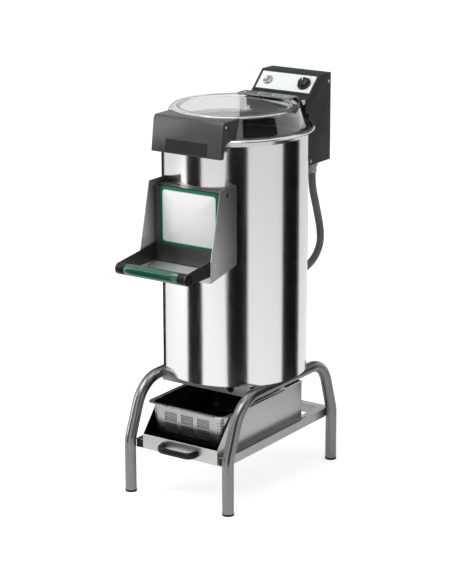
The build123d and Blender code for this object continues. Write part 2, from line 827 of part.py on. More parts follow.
# side arms from the door's foot to the handle bar, round at the front
with BuildPart() as door_arms:
    for start in (-arm_outer_x, arm_inner_x):
        with BuildSketch(side_plane(start)):
            with BuildLine():
                Polyline((bar_y, bar_z + bar_dia / 2), (bar_y, bar_z - bar_dia / 2),
                         (door_face_y, door_bottom),
                         (door_face_y + arm_lap, chute_height(door_face_y + arm_lap) + door_floor_gap),
                         (door_face_y + arm_lap, door_bottom + arm_height),
                         (door_face_y, door_bottom + arm_height), close=True)
            make_face()
            with Locations((bar_y, bar_z)):
                Circle(bar_dia / 2)
        extrude(amount=arm_thick)
keep(door_arms, "door_arms")

with BuildPart() as handle_grip:
    with BuildSketch(side_plane(-grip_length / 2)):
        with Locations((bar_y, bar_z)):
            Circle(bar_dia / 2)
    extrude(amount=grip_length)
keep(handle_grip, "handle_grip")

with BuildPart() as handle_ends:
    for side in (-1, 1):
        with BuildSketch(side_plane(side * grip_length / 2)):
            with Locations((bar_y, bar_z)):
                Circle(bar_dia / 2)
        extrude(amount=side * (arm_inner_x - grip_length / 2))
keep(handle_ends, "handle_ends")

# ================================================================ lid
lid_top = ledge_height + lid_height
lid_foot_r = drum_r - lid_inset
lid_top_r = lid_foot_r - lid_taper
flange_r = drum_inner + rim_ledge - 1.0
dish_r = lid_top_r - dish_edge
bay_half = cover_width / 2 - cover_side - soft_gap
bay_front = drum_y - drum_r - bay_reach
bay_roof = lid_top - bay_drop
bay_foot = rim_top + soft_gap


def lid_surface(inset):
    """Half section of the dished top and the cone, from the middle outwards, moved in by the wall."""
    return [
        (0, lid_top - dish_depth - inset),
        (dish_r + 0.6 * inset, lid_top - dish_depth - inset),
        (dish_r + dish_step + 0.6 * inset, lid_top - inset),
        (lid_top_r - lid_shoulder - inset / 2, lid_top - inset),
        (lid_top_r - inset, lid_top - lid_shoulder - inset / 2),
    ]


with BuildPart() as lid_shell:
    with BuildSketch(drum_section):
        with BuildLine():
            Polyline(*lid_surface(0), (lid_foot_r, ledge_height + lid_wall),
                     (flange_r, ledge_height + lid_wall), (flange_r, ledge_height), (0, ledge_height),
                     close=True)
        make_face()
    revolve(axis=drum_axis)
    with BuildSketch(Plane.XY.offset(bay_foot)):
        with Locations((0, bay_front + bay_depth / 2)):
            Rectangle(2 * bay_half, bay_depth)
    extrude(amount=bay_roof - bay_foot)
    with BuildSketch(drum_section):
        with BuildLine():
            Polyline(*lid_surface(lid_wall), (lid_foot_r - lid_wall, ledge_height), (0, ledge_height),
                     close=True)
        make_face()
    revolve(axis=drum_axis, mode=Mode.SUBTRACT)
    with BuildSketch(Plane.XY.offset(bay_foot)):
        with Locations((0, bay_front + (lid_wall + bay_depth) / 2)):
            Rectangle(2 * (bay_half - lid_wall), bay_depth - lid_wall)
    extrude(amount=bay_roof - bay_foot - lid_wall, mode=Mode.SUBTRACT)
keep(lid_shell, "lid_shell")

# front cover: a bent plate over the bay with side returns that curve up to clear the rolled rim
cover_foot_y = drum_y - rim_r - cover_clear
cover_foot_z = rim_top - cover_hang
cover_brow_y = cover_foot_y + cover_lean
cover_brow_z = bay_roof - cover_bevel_drop
cover_under = bay_roof + soft_gap
cover_top = cover_under + cover_thick
bevel_y = cover_brow_y + cover_bevel
return_y = cover_foot_y + cover_return
return_z = rim_top - 2 * soft_gap
cover_back = bay_front + bay_depth
side_low_y = drum_front(bay_half, lid_foot_r + soft_gap) - soft_gap
side_high_y = drum_front(bay_half, lid_top_r + cover_side) - soft_gap
with BuildPart() as lid_cover:
    with BuildSketch(side_plane(-cover_width / 2)):
        with BuildLine():
            Polyline((cover_back, cover_top), (bevel_y, cover_top), (cover_brow_y, cover_brow_z),
                     (cover_foot_y, cover_foot_z), (cover_foot_y + cover_thick, cover_foot_z),
                     (cover_brow_y + cover_thick, cover_brow_z), (bevel_y, cover_under),
                     (cover_back, cover_under), close=True)
        make_face()
    extrude(amount=cover_width)
    for start in (-cover_width / 2, bay_half + soft_gap):
        with BuildSketch(side_plane(start)):
            with BuildLine():
                Polyline((bevel_y, cover_under), (cover_brow_y, cover_brow_z), (cover_foot_y, cover_foot_z),
                         (cover_foot_y + cover_return_foot, cover_foot_z))
                RadiusArc((cover_foot_y + cover_return_foot, cover_foot_z), (return_y, return_z),
                          cover_hang + cover_return_foot)
                Polyline((return_y, return_z), (return_y + cover_side, bay_foot), (side_low_y, bay_foot),
                         (side_high_y, cover_under), (bevel_y, cover_under))
            make_face()
        extrude(amount=cover_side)
    with BuildSketch(drum_plane(cover_under)):
        Circle(lid_top_r + 2 * soft_gap)
    extrude(amount=2 * cover_thick, mode=Mode.SUBTRACT)
keep(lid_cover, "lid_cover")

# ribbed grip pad low on the cover's face
face_lean = degrees(atan2(cover_lean, cover_brow_z - cover_foot_z))
pad_mid = pad_rise + pad_height / 2
pad_y = cover_foot_y + pad_mid * sin(radians(face_lean))
pad_z = cover_foot_z + pad_mid * cos(radians(face_lean))
pad_plane = Plane((0, pad_y, pad_z), x_dir=(1, 0, 0),
                  z_dir=(0, -cos(radians(face_lean)), sin(radians(face_lean))))
with BuildPart() as lid_pad:
    with BuildSketch(pad_plane):
        Rectangle(pad_width, pad_height)
    extrude(amount=pad_thick)
keep(lid_pad, "lid_pad")

# hinge strap: screwed on the lid's top, bent down behind it, with two knuckles round the pin
lid_axis_y = drum_y + drum_r - lid_axis_in
lid_axis_z = lid_top - lid_axis_drop
knuckle_r = lid_pin_dia / 2 + knuckle_wall
ear_x = box_width / 2 - ear_inset - ear_thick
lug_x = ear_x - ear_gap - lug_width / 2
knuckle_side = knuckle_r * cos(radians(67))
knuckle_crown = knuckle_r * sin(radians(67))
with BuildPart() as lid_hinge_strap:
    with BuildSketch(side_plane(-lug_x - lug_width / 2)):
        with BuildLine():
            Polyline((lid_axis_y - strap_length, lid_top),
                     (lid_axis_y - lid_axis_drop - strap_thick, lid_top),
                     (lid_axis_y - knuckle_r, lid_axis_z), (lid_axis_y, lid_axis_z),
                     (lid_axis_y - knuckle_side, lid_axis_z + knuckle_crown),
                     (lid_axis_y - lid_axis_drop, lid_top + strap_thick),
                     (lid_axis_y - strap_length, lid_top + strap_thick), close=True)
        make_face()
        with Locations((lid_axis_y, lid_axis_z)):
            Circle(knuckle_r)
            Circle(lid_pin_dia / 2 + running, mode=Mode.SUBTRACT)
    extrude(amount=2 * lug_x + lug_width)
    with BuildSketch(Plane.XY.offset(lid_axis_z - knuckle_r)):
        with Locations((0, lid_axis_y + knuckle_r)):
            Rectangle(2 * lug_x - lug_width, 2 * (lid_axis_drop + knuckle_r))
    extrude(amount=lid_axis_drop + 2 * knuckle_r, mode=Mode.SUBTRACT)
keep(lid_hinge_strap, "lid_hinge_strap")

# ================================================================ control box
hood_front = lid_axis_y + knuckle_r + hood_gap
hood_bottom = rim_top + hood_rise
hood_lip = hood_bottom + hood_height
ledge_y = hood_front + hood_ledge
ledge_z = hood_lip + hood_ledge_rise
box_top = ledge_z + panel_rise
box_bottom = box_top - box_height
box_front = drum_y + rim_r + box_gap
box_back = box_front + box_depth
box_mid_z = (box_bottom + box_top) / 2
box_side = [
    (box_front, box_bottom), (box_front, hood_bottom), (hood_front, hood_bottom), (hood_front, hood_lip),
    (ledge_y, ledge_z), (ledge_y + panel_run, box_top), (box_back, box_top), (box_back, box_bottom),
]
panel_angle = degrees(atan2(panel_rise, panel_run))
panel_plane = Plane((0, ledge_y + panel_run / 2, ledge_z + panel_rise / 2), x_dir=(1, 0, 0),
                    z_dir=(0, -sin(radians(panel_angle)), cos(radians(panel_angle))))
panel_width = box_width - 2 * panel_inset
control_x = box_width / 2 - control_inset
switch_dia = button_dia + 2 * drawer_play

with BuildPart() as control_box:
    with BuildSketch(side_plane(-box_width / 2)):
        with BuildLine():
            Polyline(*box_side, close=True)
        make_face()
    extrude(amount=box_width)
    with BuildSketch(side_plane(-box_width / 2 + box_sheet)):
        with BuildLine():
            Polyline(*box_side, close=True)
        make_face()
        offset(amount=-box_sheet, kind=Kind.INTERSECTION, mode=Mode.REPLACE)
        with Locations((box_back, box_mid_z)):
            Rectangle(3 * box_sheet, box_height - 2 * box_sheet)
    extrude(amount=box_width - 2 * box_sheet, mode=Mode.SUBTRACT)
    with BuildSketch(panel_plane):
        with Locations((-control_x, 0)):
            Circle(switch_dia / 2)
        with Locations((control_x, 0)):
            Circle(spindle_hole / 2)
    extrude(amount=-2 * box_sheet, mode=Mode.SUBTRACT)
keep(control_box, "control_box")

with BuildPart() as box_back_cover:
    with BuildSketch(front_plane(box_back)):
        with Locations((0, box_mid_z)):
            Rectangle(box_width - 2 * box_sheet - 2 * soft_gap, box_height - 2 * box_sheet - 2 * soft_gap)
    extrude(amount=box_sheet)
keep(box_back_cover, "box_back_cover")

with BuildPart() as control_panel:
    with BuildSketch(panel_plane):
        RectangleRounded(panel_width, panel_length, panel_corner)
        with Locations((-control_x, 0)):
            Circle(switch_dia / 2, mode=Mode.SUBTRACT)
        with Locations((control_x, 0)):
            Circle(spindle_hole / 2, mode=Mode.SUBTRACT)
    extrude(amount=panel_thick)
keep(control_panel, "control_panel")

with BuildPart() as button_bezel:
    with BuildSketch(panel_plane.offset(panel_thick)):
        with Locations((-control_x, 0)):
            Circle(bezel_dia / 2)
            Circle(button_dia / 2 + running, mode=Mode.SUBTRACT)
    extrude(amount=bezel_height)
keep(button_bezel, "button_bezel")

# the button's underside stands clear of the switch by its travel
button_foot = panel_thick + button_travel + soft_gap
with BuildPart() as start_button:
    with BuildSketch(panel_plane.offset(button_foot)):
        with Locations((-control_x, 0)):
            Circle(button_dia / 2)
    extrude(amount=button_height)
keep(start_button, "start_button")

with BuildPart() as timer_knob:
    with BuildSketch(panel_plane.offset(panel_thick + soft_gap)):
        with Locations((control_x, 0)):
            Circle(knob_dia / 2)
    extrude(amount=knob_skirt)
    with BuildSketch(panel_plane.offset(panel_thick + soft_gap + knob_skirt)):
        with Locations((control_x, 0)):
            Circle(knob_grip_dia / 2)
    extrude(amount=knob_height - knob_skirt)
    with BuildSketch(panel_plane.offset(panel_thick + soft_gap)):
        with Locations((control_x, 0)):
            Circle(spindle_dia / 2)
    extrude(amount=-panel_thick - soft_gap - box_sheet - timer_depth / 2)
keep(timer_knob, "timer_knob")

# timer and start switch behind the panel, contactor on the back cover
with BuildPart() as electrical_units:
    with BuildSketch(panel_plane.offset(-box_sheet)):
        with Locations((control_x, 0)):
            Rectangle(timer_size, timer_size)
            Circle(spindle_dia / 2 + running, mode=Mode.SUBTRACT)
    extrude(amount=-timer_depth)
    with BuildSketch(panel_plane.offset(panel_thick)):
        with Locations((-control_x, 0)):
            Circle(switch_dia / 2 - running)
    extrude(amount=-panel_thick - box_sheet - switch_depth)
    with BuildSketch(front_plane(box_back - box_sheet)):
        with Locations((0, box_bottom + contactor_height)):
            Rectangle(contactor_width, contactor_height)
    extrude(amount=contactor_depth)
keep(electrical_units, "electrical_units")

with BuildPart() as box_spacers:
    with BuildSketch(front_plane(box_front)):
        with Locations((0, (box_bottom + rim_bottom) / 2)):
            with GridLocations(2 * control_x, spacer_z, 2, 2):
                Circle(spacer_dia / 2)
    extrude(amount=box_front - drum_y)
    with BuildSketch(drum_plane(drum_bottom)):
        Circle(drum_r)
    extrude(amount=rim_bottom - drum_bottom, mode=Mode.SUBTRACT)
keep(box_spacers, "box_spacers")

# sensor under the hood that the lid's back edge faces when it is shut
with BuildPart() as lid_switch:
    with BuildSketch(front_plane(hood_front)):
        with Locations((0, hood_bottom + lid_switch_height / 2)):
            Rectangle(lid_switch_width, lid_switch_height)
    extrude(amount=lid_switch_depth)
keep(lid_switch, "lid_switch")

ear_r = hood_front - lid_axis_y
with BuildPart() as lid_hinge_ears:
    for side in (-1, 1):
        with BuildSketch(side_plane(side * ear_x)):
            with BuildLine():
                Polyline((lid_axis_y, lid_axis_z + ear_r), (lid_axis_y - ear_r, lid_axis_z),
                         (hood_front, hood_bottom + hood_rise), (hood_front, lid_axis_z), close=True)
            make_face()
            with Locations((lid_axis_y, lid_axis_z)):
                Circle(ear_r)
                Circle(lid_pin_dia / 2, mode=Mode.SUBTRACT)
        extrude(amount=side * ear_thick)
        with BuildSketch(front_plane(hood_front)):
            with Locations((side * (ear_x + ear_thick / 2), (hood_bottom + lid_axis_z) / 2)):
                Rectangle(ear_foot, lid_axis_z - hood_bottom - 2 * hood_rise)
        extrude(amount=ear_thick / 2)
keep(lid_hinge_ears, "lid_hinge_ears")

with BuildPart() as lid_hinge_pin:
    with BuildSketch(side_plane(-ear_x - ear_thick)):
        with Locations((lid_axis_y, lid_axis_z)):
            Circle(lid_pin_dia / 2)
    extrude(amount=2 * (ear_x + ear_thick))
    for side in (-1, 1):
        with BuildSketch(side_plane(side * (ear_x + ear_thick))):
            with Locations((lid_axis_y, lid_axis_z)):
                Circle(pin_head_dia / 2)
        extrude(amount=side * pin_head)
keep(lid_hinge_pin, "lid_hinge_pin")


# ================================================================ conduit
# The conduit hangs in the upright plane through the drum axis and the gland under the box. It runs straight
# down, swings out past the gland on the drum, and comes back to it.
def beside_drum(reach, height):
    """Point at a distance outside the drum's radius, in the conduit's plane."""
    turn = radians(gland_turn)
    return ((drum_r + reach) * cos(turn), drum_y + (drum_r + reach) * sin(turn), height)


low_gland_z = floor_height - low_gland_drop
conduit_route = [
    beside_drum(gland_reach, box_bottom - gland_length),
    beside_drum(gland_reach, box_bottom - gland_length - conduit_straight),
    beside_drum(gland_reach + conduit_swing, box_bottom - gland_length - conduit_fall),
    beside_drum(conduit_bow, low_gland_z + conduit_turn),
    beside_drum(conduit_bow - conduit_heel, low_gland_z + conduit_turn - conduit_heel_fall),
    beside_drum((conduit_bow + gland_length) / 2, low_gland_z + conduit_toe),
    beside_drum(gland_length, low_gland_z),
]
low_end = Vector(*conduit_route[-1])
low_axis = (Vector(*conduit_route[-2]) - low_end).normalized()
with BuildPart() as conduit_glands:
    with BuildSketch(Plane(low_end, z_dir=low_axis)):
        Circle(gland_dia / 2)
    extrude(amount=-2 * gland_length)
    with BuildSketch(Plane(low_end - low_axis * (gland_length - gland_nut), z_dir=low_axis)):
        RegularPolygon(gland_nut_dia / 2, 6)
    extrude(amount=-gland_length)
    with BuildSketch(drum_plane(low_end.Z - 2 * gland_length)):
        Circle(drum_r)
    extrude(amount=4 * gland_length, mode=Mode.SUBTRACT)
    with BuildSketch(Plane(beside_drum(gland_reach, box_bottom))):
        Circle(gland_dia / 2)
    extrude(amount=-gland_length)
    with BuildSketch(Plane(beside_drum(gland_reach, box_bottom))):
        RegularPolygon(gland_nut_dia / 2, 6)
    extrude(amount=-gland_nut)
keep(conduit_glands, "conduit_glands")

# each bend is as large as its two runs allow
route_points = [Vector(*point) for point in conduit_route]
bend_radii = []
for before, corner, after in zip(route_points, route_points[1:], route_points[2:]):
    half_turn = radians((corner - before).get_angle(after - corner) / 2)
    shorter = min((corner - before).length, (after - corner).length)
    bend_radii.append(0.45 * shorter / tan(half_turn))
print("conduit bend radii", [round(radius) for radius in bend_radii])
with BuildPart() as conduit:
    with BuildLine() as conduit_path:
        FilletPolyline(*conduit_route, radius=bend_radii)
    with BuildSketch(Plane(conduit_route[0], z_dir=(0, 0, -1))):
        Circle(conduit_dia / 2)
    sweep(path=conduit_path.line)
keep(conduit, "conduit")

# ================================================================ drawer
drawer_front = -leg_y + drawer_set_back
drawer_back = drawer_front + drawer_length
slope_y = drawer_front + drawer_slope
slope_mid = (slope_y + drawer_back) / 2
outlet_z = drawer_bottom + outlet_dia / 2 + outlet_wall
with BuildPart() as drawer_box:
    with BuildSketch(side_plane(-half_drawer)):
        with BuildLine():
            Polyline((drawer_front, drawer_bottom), (drawer_front, drawer_bottom + drawer_face),
                     (slope_y, drawer_top), (drawer_back, drawer_top), (drawer_back, drawer_bottom),
                     close=True)
        make_face()
    extrude(amount=2 * half_drawer)
    with BuildSketch(Plane((0, (drawer_front + drawer_back) / 2, drawer_bottom + drawer_sheet))):
        Rectangle(2 * (half_drawer - drawer_sheet), drawer_length - 2 * drawer_sheet)
    extrude(amount=drawer_depth, mode=Mode.SUBTRACT)
    for side in (-1, 1):
        with BuildSketch(Plane((side * (half_drawer + runner_width / 2), slope_mid, rail_top))):
            Rectangle(runner_width, drawer_back - slope_y)
        extrude(amount=drawer_sheet)
        with BuildSketch(Plane((side * (half_drawer + drawer_lip / 2), slope_mid, drawer_top))):
            Rectangle(drawer_lip, drawer_back - slope_y)
        extrude(amount=-drawer_sheet)
    with BuildSketch(front_plane(drawer_back)):
        with Locations((0, outlet_z)):
            Circle(outlet_dia / 2 - outlet_wall)
    extrude(amount=drawer_sheet, mode=Mode.SUBTRACT)
    with BuildSketch(front_plane(drawer_back + outlet_length)):
        with Locations((0, outlet_z)):
            Circle(outlet_dia / 2)
            Circle(outlet_dia / 2 - outlet_wall, mode=Mode.SUBTRACT)
    extrude(amount=outlet_length)
keep(drawer_box, "drawer_box")

handle_z = drawer_bottom + drawer_face / 2
handle_y = drawer_front - handle_reach
with BuildPart() as drawer_handle:
    with BuildLine() as bridge:
        FilletPolyline((-handle_span / 2, drawer_front, handle_z), (-handle_span / 2, handle_y, handle_z),
                       (handle_span / 2, handle_y, handle_z), (handle_span / 2, drawer_front, handle_z),
                       radius=handle_bend)
    with BuildSketch(Plane((-handle_span / 2, drawer_front, handle_z), z_dir=(0, -1, 0))):
        Ellipse(handle_bar * 0.7, handle_bar / 2)
    sweep(path=bridge.line)
keep(drawer_handle, "drawer_handle")


# ================================================================ pan
def pan_plan(inset, height):
    """Rounded rectangle of the pan's plan, inset all round."""
    with BuildSketch(Plane((0, drawer_front + pan_set_back + pan_length / 2, height))) as plan:
        RectangleRounded(pan_width - 2 * inset, pan_length - 2 * inset, pan_corner - inset / 2)
    return plan.sketch


pan_bottom = drawer_top - pan_depth
outer_top = pan_plan(pan_rim, drawer_top)
outer_low = pan_plan(pan_rim + pan_taper, pan_bottom)
inner_top = pan_plan(pan_rim + pan_sheet, drawer_top + pan_sheet)
inner_low = pan_plan(pan_rim + pan_taper + pan_sheet, pan_bottom + pan_sheet)
rim_plan = pan_plan(0, drawer_top)
with BuildPart() as filter_pan:
    loft([outer_low, outer_top])
    extrude(rim_plan, amount=pan_sheet)
    loft([inner_low, inner_top], mode=Mode.SUBTRACT)
keep(filter_pan, "filter_pan")

# ================================================================ fasteners
# Flat-headed screws in the cheeks, the control box and the front cross plate; all are the same size.
side_screws = [
    (cheek_x + cheek_thick, cheek_front + cheek_screw_in, cheek_top - screw_margin),
    (cheek_x + cheek_thick, toe_y + cheek_screw_low, toe_z + cheek_knee_rise - screw_margin),
    (box_width / 2, box_front + screw_margin, box_bottom + screw_margin),
    (box_width / 2, box_back - screw_margin, box_top - 2 * screw_margin),
]
with BuildPart() as stand_screws:
    for side in (-1, 1):
        for face_x, y, z in side_screws:
            with BuildSketch(side_plane(side * face_x)):
                with Locations((y, z)):
                    Circle(screw_dia / 2)
            extrude(amount=side * screw_head)
    with BuildSketch(front_plane(front_run_y)):
        with Locations((-grommet_x, deck_height - cross_drop / 2)):
            Circle(screw_dia / 2)
    extrude(amount=screw_head)
keep(stand_screws, "stand_screws")
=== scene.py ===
from math import atan2, cos, pi, radians, sin

import bmesh
import bpy
import numpy as np
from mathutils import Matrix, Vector


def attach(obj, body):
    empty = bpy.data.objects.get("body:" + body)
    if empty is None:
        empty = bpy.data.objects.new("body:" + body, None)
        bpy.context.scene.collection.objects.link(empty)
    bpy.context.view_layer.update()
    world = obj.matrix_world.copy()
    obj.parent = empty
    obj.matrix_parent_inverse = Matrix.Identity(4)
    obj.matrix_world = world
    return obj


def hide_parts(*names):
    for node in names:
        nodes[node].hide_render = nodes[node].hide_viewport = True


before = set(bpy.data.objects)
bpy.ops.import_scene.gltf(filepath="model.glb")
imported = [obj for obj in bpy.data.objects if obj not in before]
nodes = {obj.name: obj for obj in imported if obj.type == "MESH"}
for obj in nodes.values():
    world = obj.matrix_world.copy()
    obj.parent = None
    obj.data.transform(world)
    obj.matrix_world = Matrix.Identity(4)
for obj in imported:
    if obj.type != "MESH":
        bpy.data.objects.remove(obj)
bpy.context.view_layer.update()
scene = bpy.context.scene
scene.view_settings.view_transform = "Standard"


# ------------ camera
# A long lens looks at the machine from the front right, a little above the lid. It stands far off, so that
# the drum's edges stay parallel.
def put(name, data):
    """New object in the scene."""
    thing = bpy.data.objects.new(name, data)
    scene.collection.objects.link(thing)
    return thing


camera_turn = 34.304
camera = put("camera", bpy.data.cameras.new("camera"))
camera.location = (3.1545, -4.6324, 2.1440)
camera.rotation_euler = (radians(73.998), radians(0.111), radians(camera_turn))
camera.data.lens = 129.88
camera.data.sensor_width = 36.0
camera.data.shift_x = -0.0063
camera.data.clip_end = 60.0
scene.camera = camera


# ------------ studio
# A white sweep and a pale floor under plain soft light. Black flags stand round the machine, out of sight,
# and draw the dark upright bands that polished sheet steel shows in a studio.
def rgba(colour):
    """Opaque colour from its red, green and blue; a single number is a grey."""
    return (*np.broadcast_to(colour, 3), 1)


def finish_base(name, colour, roughness, metallic=0.0, shine=0.5):
    """Plain surface of one colour, ready for its pattern; gives the material and its surface."""
    material = bpy.data.materials.new(name)
    material.use_nodes = True
    surface = material.node_tree.nodes["Principled BSDF"]
    surface.inputs["Base Color"].default_value = rgba(colour)
    surface.inputs["Roughness"].default_value = roughness
    surface.inputs["Metallic"].default_value = metallic
    surface.inputs["Specular IOR Level"].default_value = shine
    return material, surface


def feed(entry, value):
    """Link a node's entry to another node's output, or set it to a plain value."""
    if isinstance(value, bpy.types.NodeSocket):
        entry.id_data.links.new(value, entry)
    else:
        entry.default_value = value


def add_node(beside, kind, entries, **settings):
    """New node beside others, with its settings and what its entries are fed; gives its outputs."""
    made = beside.id_data.nodes.new("ShaderNode" + kind)
    for setting, value in settings.items():
        setattr(made, setting, value)
    for entry, value in entries.items():
        feed(made.inputs[entry], value)
    return made.outputs


def reckon(operation, *values):
    """One step of arithmetic on the outputs of other nodes and on numbers."""
    beside = next(value for value in values if isinstance(value, bpy.types.NodeSocket))
    return add_node(beside, "Math", dict(enumerate(values)), operation=operation)[0]


def staged(name, mesh, material):
    """Put a mesh in the scene as a part of the studio."""
    mesh.materials.append(material)
    thing = put(name, mesh)
    return thing


# The floor shows the light that falls on it, with its shadows, plus a glow for what looks at it, which is
# fainter for what mirrors it.
floor_glow, mirrored_glow = 0.56, 0.45
floor_white, floor_finish = finish_base("studio_floor", 0.93, 1.0, shine=0.0)
floor_finish.inputs["Emission Color"].default_value = rgba(1)
rays = add_node(floor_finish, "LightPath", {})
seen = reckon("MAXIMUM", rays["Is Camera Ray"], rays["Is Transmission Ray"])
mirrored = reckon("MULTIPLY", rays["Is Glossy Ray"], mirrored_glow)
feed(floor_finish.inputs["Emission Strength"],
     reckon("MULTIPLY", reckon("MAXIMUM", seen, mirrored), floor_glow))
floor_mesh = bpy.data.meshes.new("studio_floor")
floor_mesh.from_pydata([(-16, -16, 0), (16, -16, 0), (16, 16, 0), (-16, 16, 0)], [], [(0, 1, 2, 3)])
staged("studio_floor", floor_mesh, floor_white)

# The sweep lights the machine at half strength and is plain white to the eye, in mirrors and through glass.
world = bpy.data.worlds.new("studio")
scene.world = world
world.use_nodes = True
sky = world.node_tree
sky.nodes.clear()
rays = add_node(sky, "LightPath", {})
mirrored = reckon("MAXIMUM", rays["Is Transmission Ray"], rays["Is Glossy Ray"])
soft_sky, white_sky = (add_node(sky, "Background", {"Color": rgba(1), "Strength": strength})[0]
                       for strength in (0.5, 1.0))
seen = reckon("MAXIMUM", rays["Is Camera Ray"], mirrored)
sky_choice = add_node(sky, "MixShader", {0: seen, 1: soft_sky, 2: white_sky})
add_node(sky, "OutputWorld", {"Surface": sky_choice[0]})

drum_y = 0.012  # the drum's axis stands a little behind the middle of the feet
black_cloth, grey_cloth, pale_cloth = (
    finish_base(name, shade, 1.0, shine=0.0)[0]
    for name, shade in (("black_cloth", 0.006), ("grey_cloth", 0.16), ("pale_cloth", 0.80)))


def standing_flag(name, start, stop, low=0.004, high=0.985, distance=0.9, cloth=black_cloth, steps=24):
    """Upright flag bent round the machine: an arc of a circle on the drum's axis from one bearing to another,
    lifted from a low to a high edge. Bearings are degrees to the right of the camera."""
    bearing = np.radians(camera_turn - 90 + np.linspace(start, stop, steps))
    edges = [np.column_stack([distance * np.cos(bearing), drum_y + distance * np.sin(bearing),
                              np.full(steps, level)]) for level in (low, high)]
    mesh = bpy.data.meshes.new(name)
    mesh.from_pydata(np.concatenate(edges).tolist(), [],
                     [(i, i + 1, steps + i + 1, steps + i) for i in range(steps - 1)])
    flag = staged(name, mesh, cloth)
    flag.visible_camera = False
    flag.visible_diffuse = False
    flag.visible_shadow = False
    return flag


# Four flags make the dark bands on the drum; three more, further off and higher, are what the lid mirrors.
standing_flag("flag_far_left", -180, -134).visible_transmission = False
standing_flag("flag_left", -73, -48)
standing_flag("flag_front", -10.5, 17.5)
standing_flag("flag_right", 72, 110)
standing_flag("flag_behind", 122, 179.5, 1.25, 2.8, 2.4, grey_cloth)
standing_flag("flag_behind_left", 179.5, 240, 1.25, 2.8, 2.4, pale_cloth)
standing_flag("flag_above_right", 13, 72, 1.4, 3.3, 2.4)

# Two large soft lamps point at the machine.
for name, place, aim, size, power in (("soft_box_top", (-0.4, -1.4, 4.2), (0, 0, 0.6), (3.0, 2.0), 75),
                                      ("soft_box_left", (-3.0, -2.6, 1.8), (0, 0, 0.7), (1.2, 2.6), 45)):
    lamp = bpy.data.lights.new(name, "AREA")
    lamp.shape = "RECTANGLE"
    lamp.size, lamp.size_y = size
    lamp.energy = power
    hung = put(name, lamp)
    hung.location = place
    hung.rotation_euler = (Vector(aim) - Vector(place)).to_track_quat("-Z", "Y").to_euler()


# ------------ conduit
# A corrugated plastic hose for the motor's wires, 22 mm across, from the gland under the control box down to
# the gland on the back of the drum. It is held at both ends and bows out behind the drum under its stiffness.
def grid_faces(rows, cols, wrap_rows=False, wrap_cols=True):
    """Faces of a grid of points: every square of neighbours, and a wrapped side joins its last row or column
    to its first."""
    row, col = np.meshgrid(np.arange(rows if wrap_rows else rows - 1),
                           np.arange(cols if wrap_cols else cols - 1), indexing="ij")
    next_row, next_col = (row + 1) % rows, (col + 1) % cols
    return np.stack([row * cols + col, next_row * cols + col, next_row * cols + next_col,
                     row * cols + next_col], axis=-1).reshape(-1, 4).tolist()


def smooth_shade(mesh, crease):
    """Shade a mesh smoothly up to a crease angle."""
    mesh.polygons.foreach_set("use_smooth", np.ones(len(mesh.polygons), bool))
    mesh.set_sharp_from_angle(angle=radians(crease))


def joined_mesh(name, parts, crease):
    """One mesh from sets of points and faces: points that coincide are made one, which closes seams and
    poles, faces turn outwards, and edges sharper than the crease angle stay crisp."""
    points, faces, start = [], [], 0
    for part_points, part_faces in parts:
        points.append(part_points.reshape(-1, 3))
        faces += [[index + start for index in face] for face in part_faces]
        start += len(points[-1])
    mesh = bpy.data.meshes.new(name)
    mesh.from_pydata(np.concatenate(points).tolist(), [], faces)
    work = bmesh.new()
    work.from_mesh(mesh)
    bmesh.ops.remove_doubles(work, verts=work.verts, dist=2e-6)
    bmesh.ops.dissolve_degenerate(work, edges=work.edges, dist=1e-7)
    bmesh.ops.recalc_face_normals(work, faces=work.faces)
    work.to_mesh(mesh)
    work.free()
    smooth_shade(mesh, crease)
    return mesh


def grid_mesh(name, points, crease=35, **wraps):
    """Mesh over rows and columns of points, wrapped along its columns unless the wraps say otherwise."""
    return joined_mesh(name, [(points, grid_faces(*points.shape[:2], **wraps))], crease)


def stand_piece(name, mesh, material, body, stands_for=None):
    """Put a finished mesh in the scene as one piece of a body; it may stand for a CAD node."""
    mesh.materials.append(material)
    piece = put(name, mesh)
    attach(piece, body)
    if stands_for:
        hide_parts(stands_for)
    return piece


def grid_piece(name, points, material, body, slot, stands_for=None, **shading):
    """A piece of a body from rows and columns of points."""
    return stand_piece(name, grid_mesh(name, points, **shading), material, body, stands_for)


def noise_pattern(surface, stretch, detail=3.0, roughness=0.6):
    """Noise on the object's own coordinates, with a count of grains per metre along each axis."""
    place = add_node(surface, "Mapping", {"Vector": add_node(surface, "TexCoord", {})["Object"],
                                          "Scale": tuple(np.broadcast_to(stretch, 3))})
    return add_node(surface, "TexNoise", {"Vector": place["Vector"], "Scale": 1.0, "Detail": detail,
                                          "Roughness": roughness})["Fac"]


def spread(value, low, high, start=0.3, stop=0.7):
    """Spread a pattern over the range from low to high."""
    return add_node(value, "MapRange", {"Value": value, "From Min": start, "From Max": stop, "To Min": low,
                                        "To Max": high})["Result"]


def raise_pattern(surface, value, depth, strength=1.0):
    """Let a pattern stand out of the surface by a depth in metres, over what already stands out of it."""
    below = {"Normal": link.from_socket for link in surface.inputs["Normal"].links}
    bump = add_node(surface, "Bump", {"Distance": depth, "Strength": strength, "Height": value, **below})
    feed(surface.inputs["Normal"], bump["Normal"])


def tint_pattern(surface, value, dark, light):
    """Colour the surface from a dark to a light shade by a pattern."""
    blend = add_node(surface, "Mix", {"A": rgba(dark), "B": rgba(light), "Factor": value}, data_type="RGBA")
    feed(surface.inputs["Base Color"], blend["Result"])


def vary_gloss(surface, value, least=0.85, most=1.15):
    """Let the roughness follow a pattern, from a least to a most share of its plain value."""
    rough = surface.inputs["Roughness"]
    feed(rough, spread(value, rough.default_value * least, rough.default_value * most))


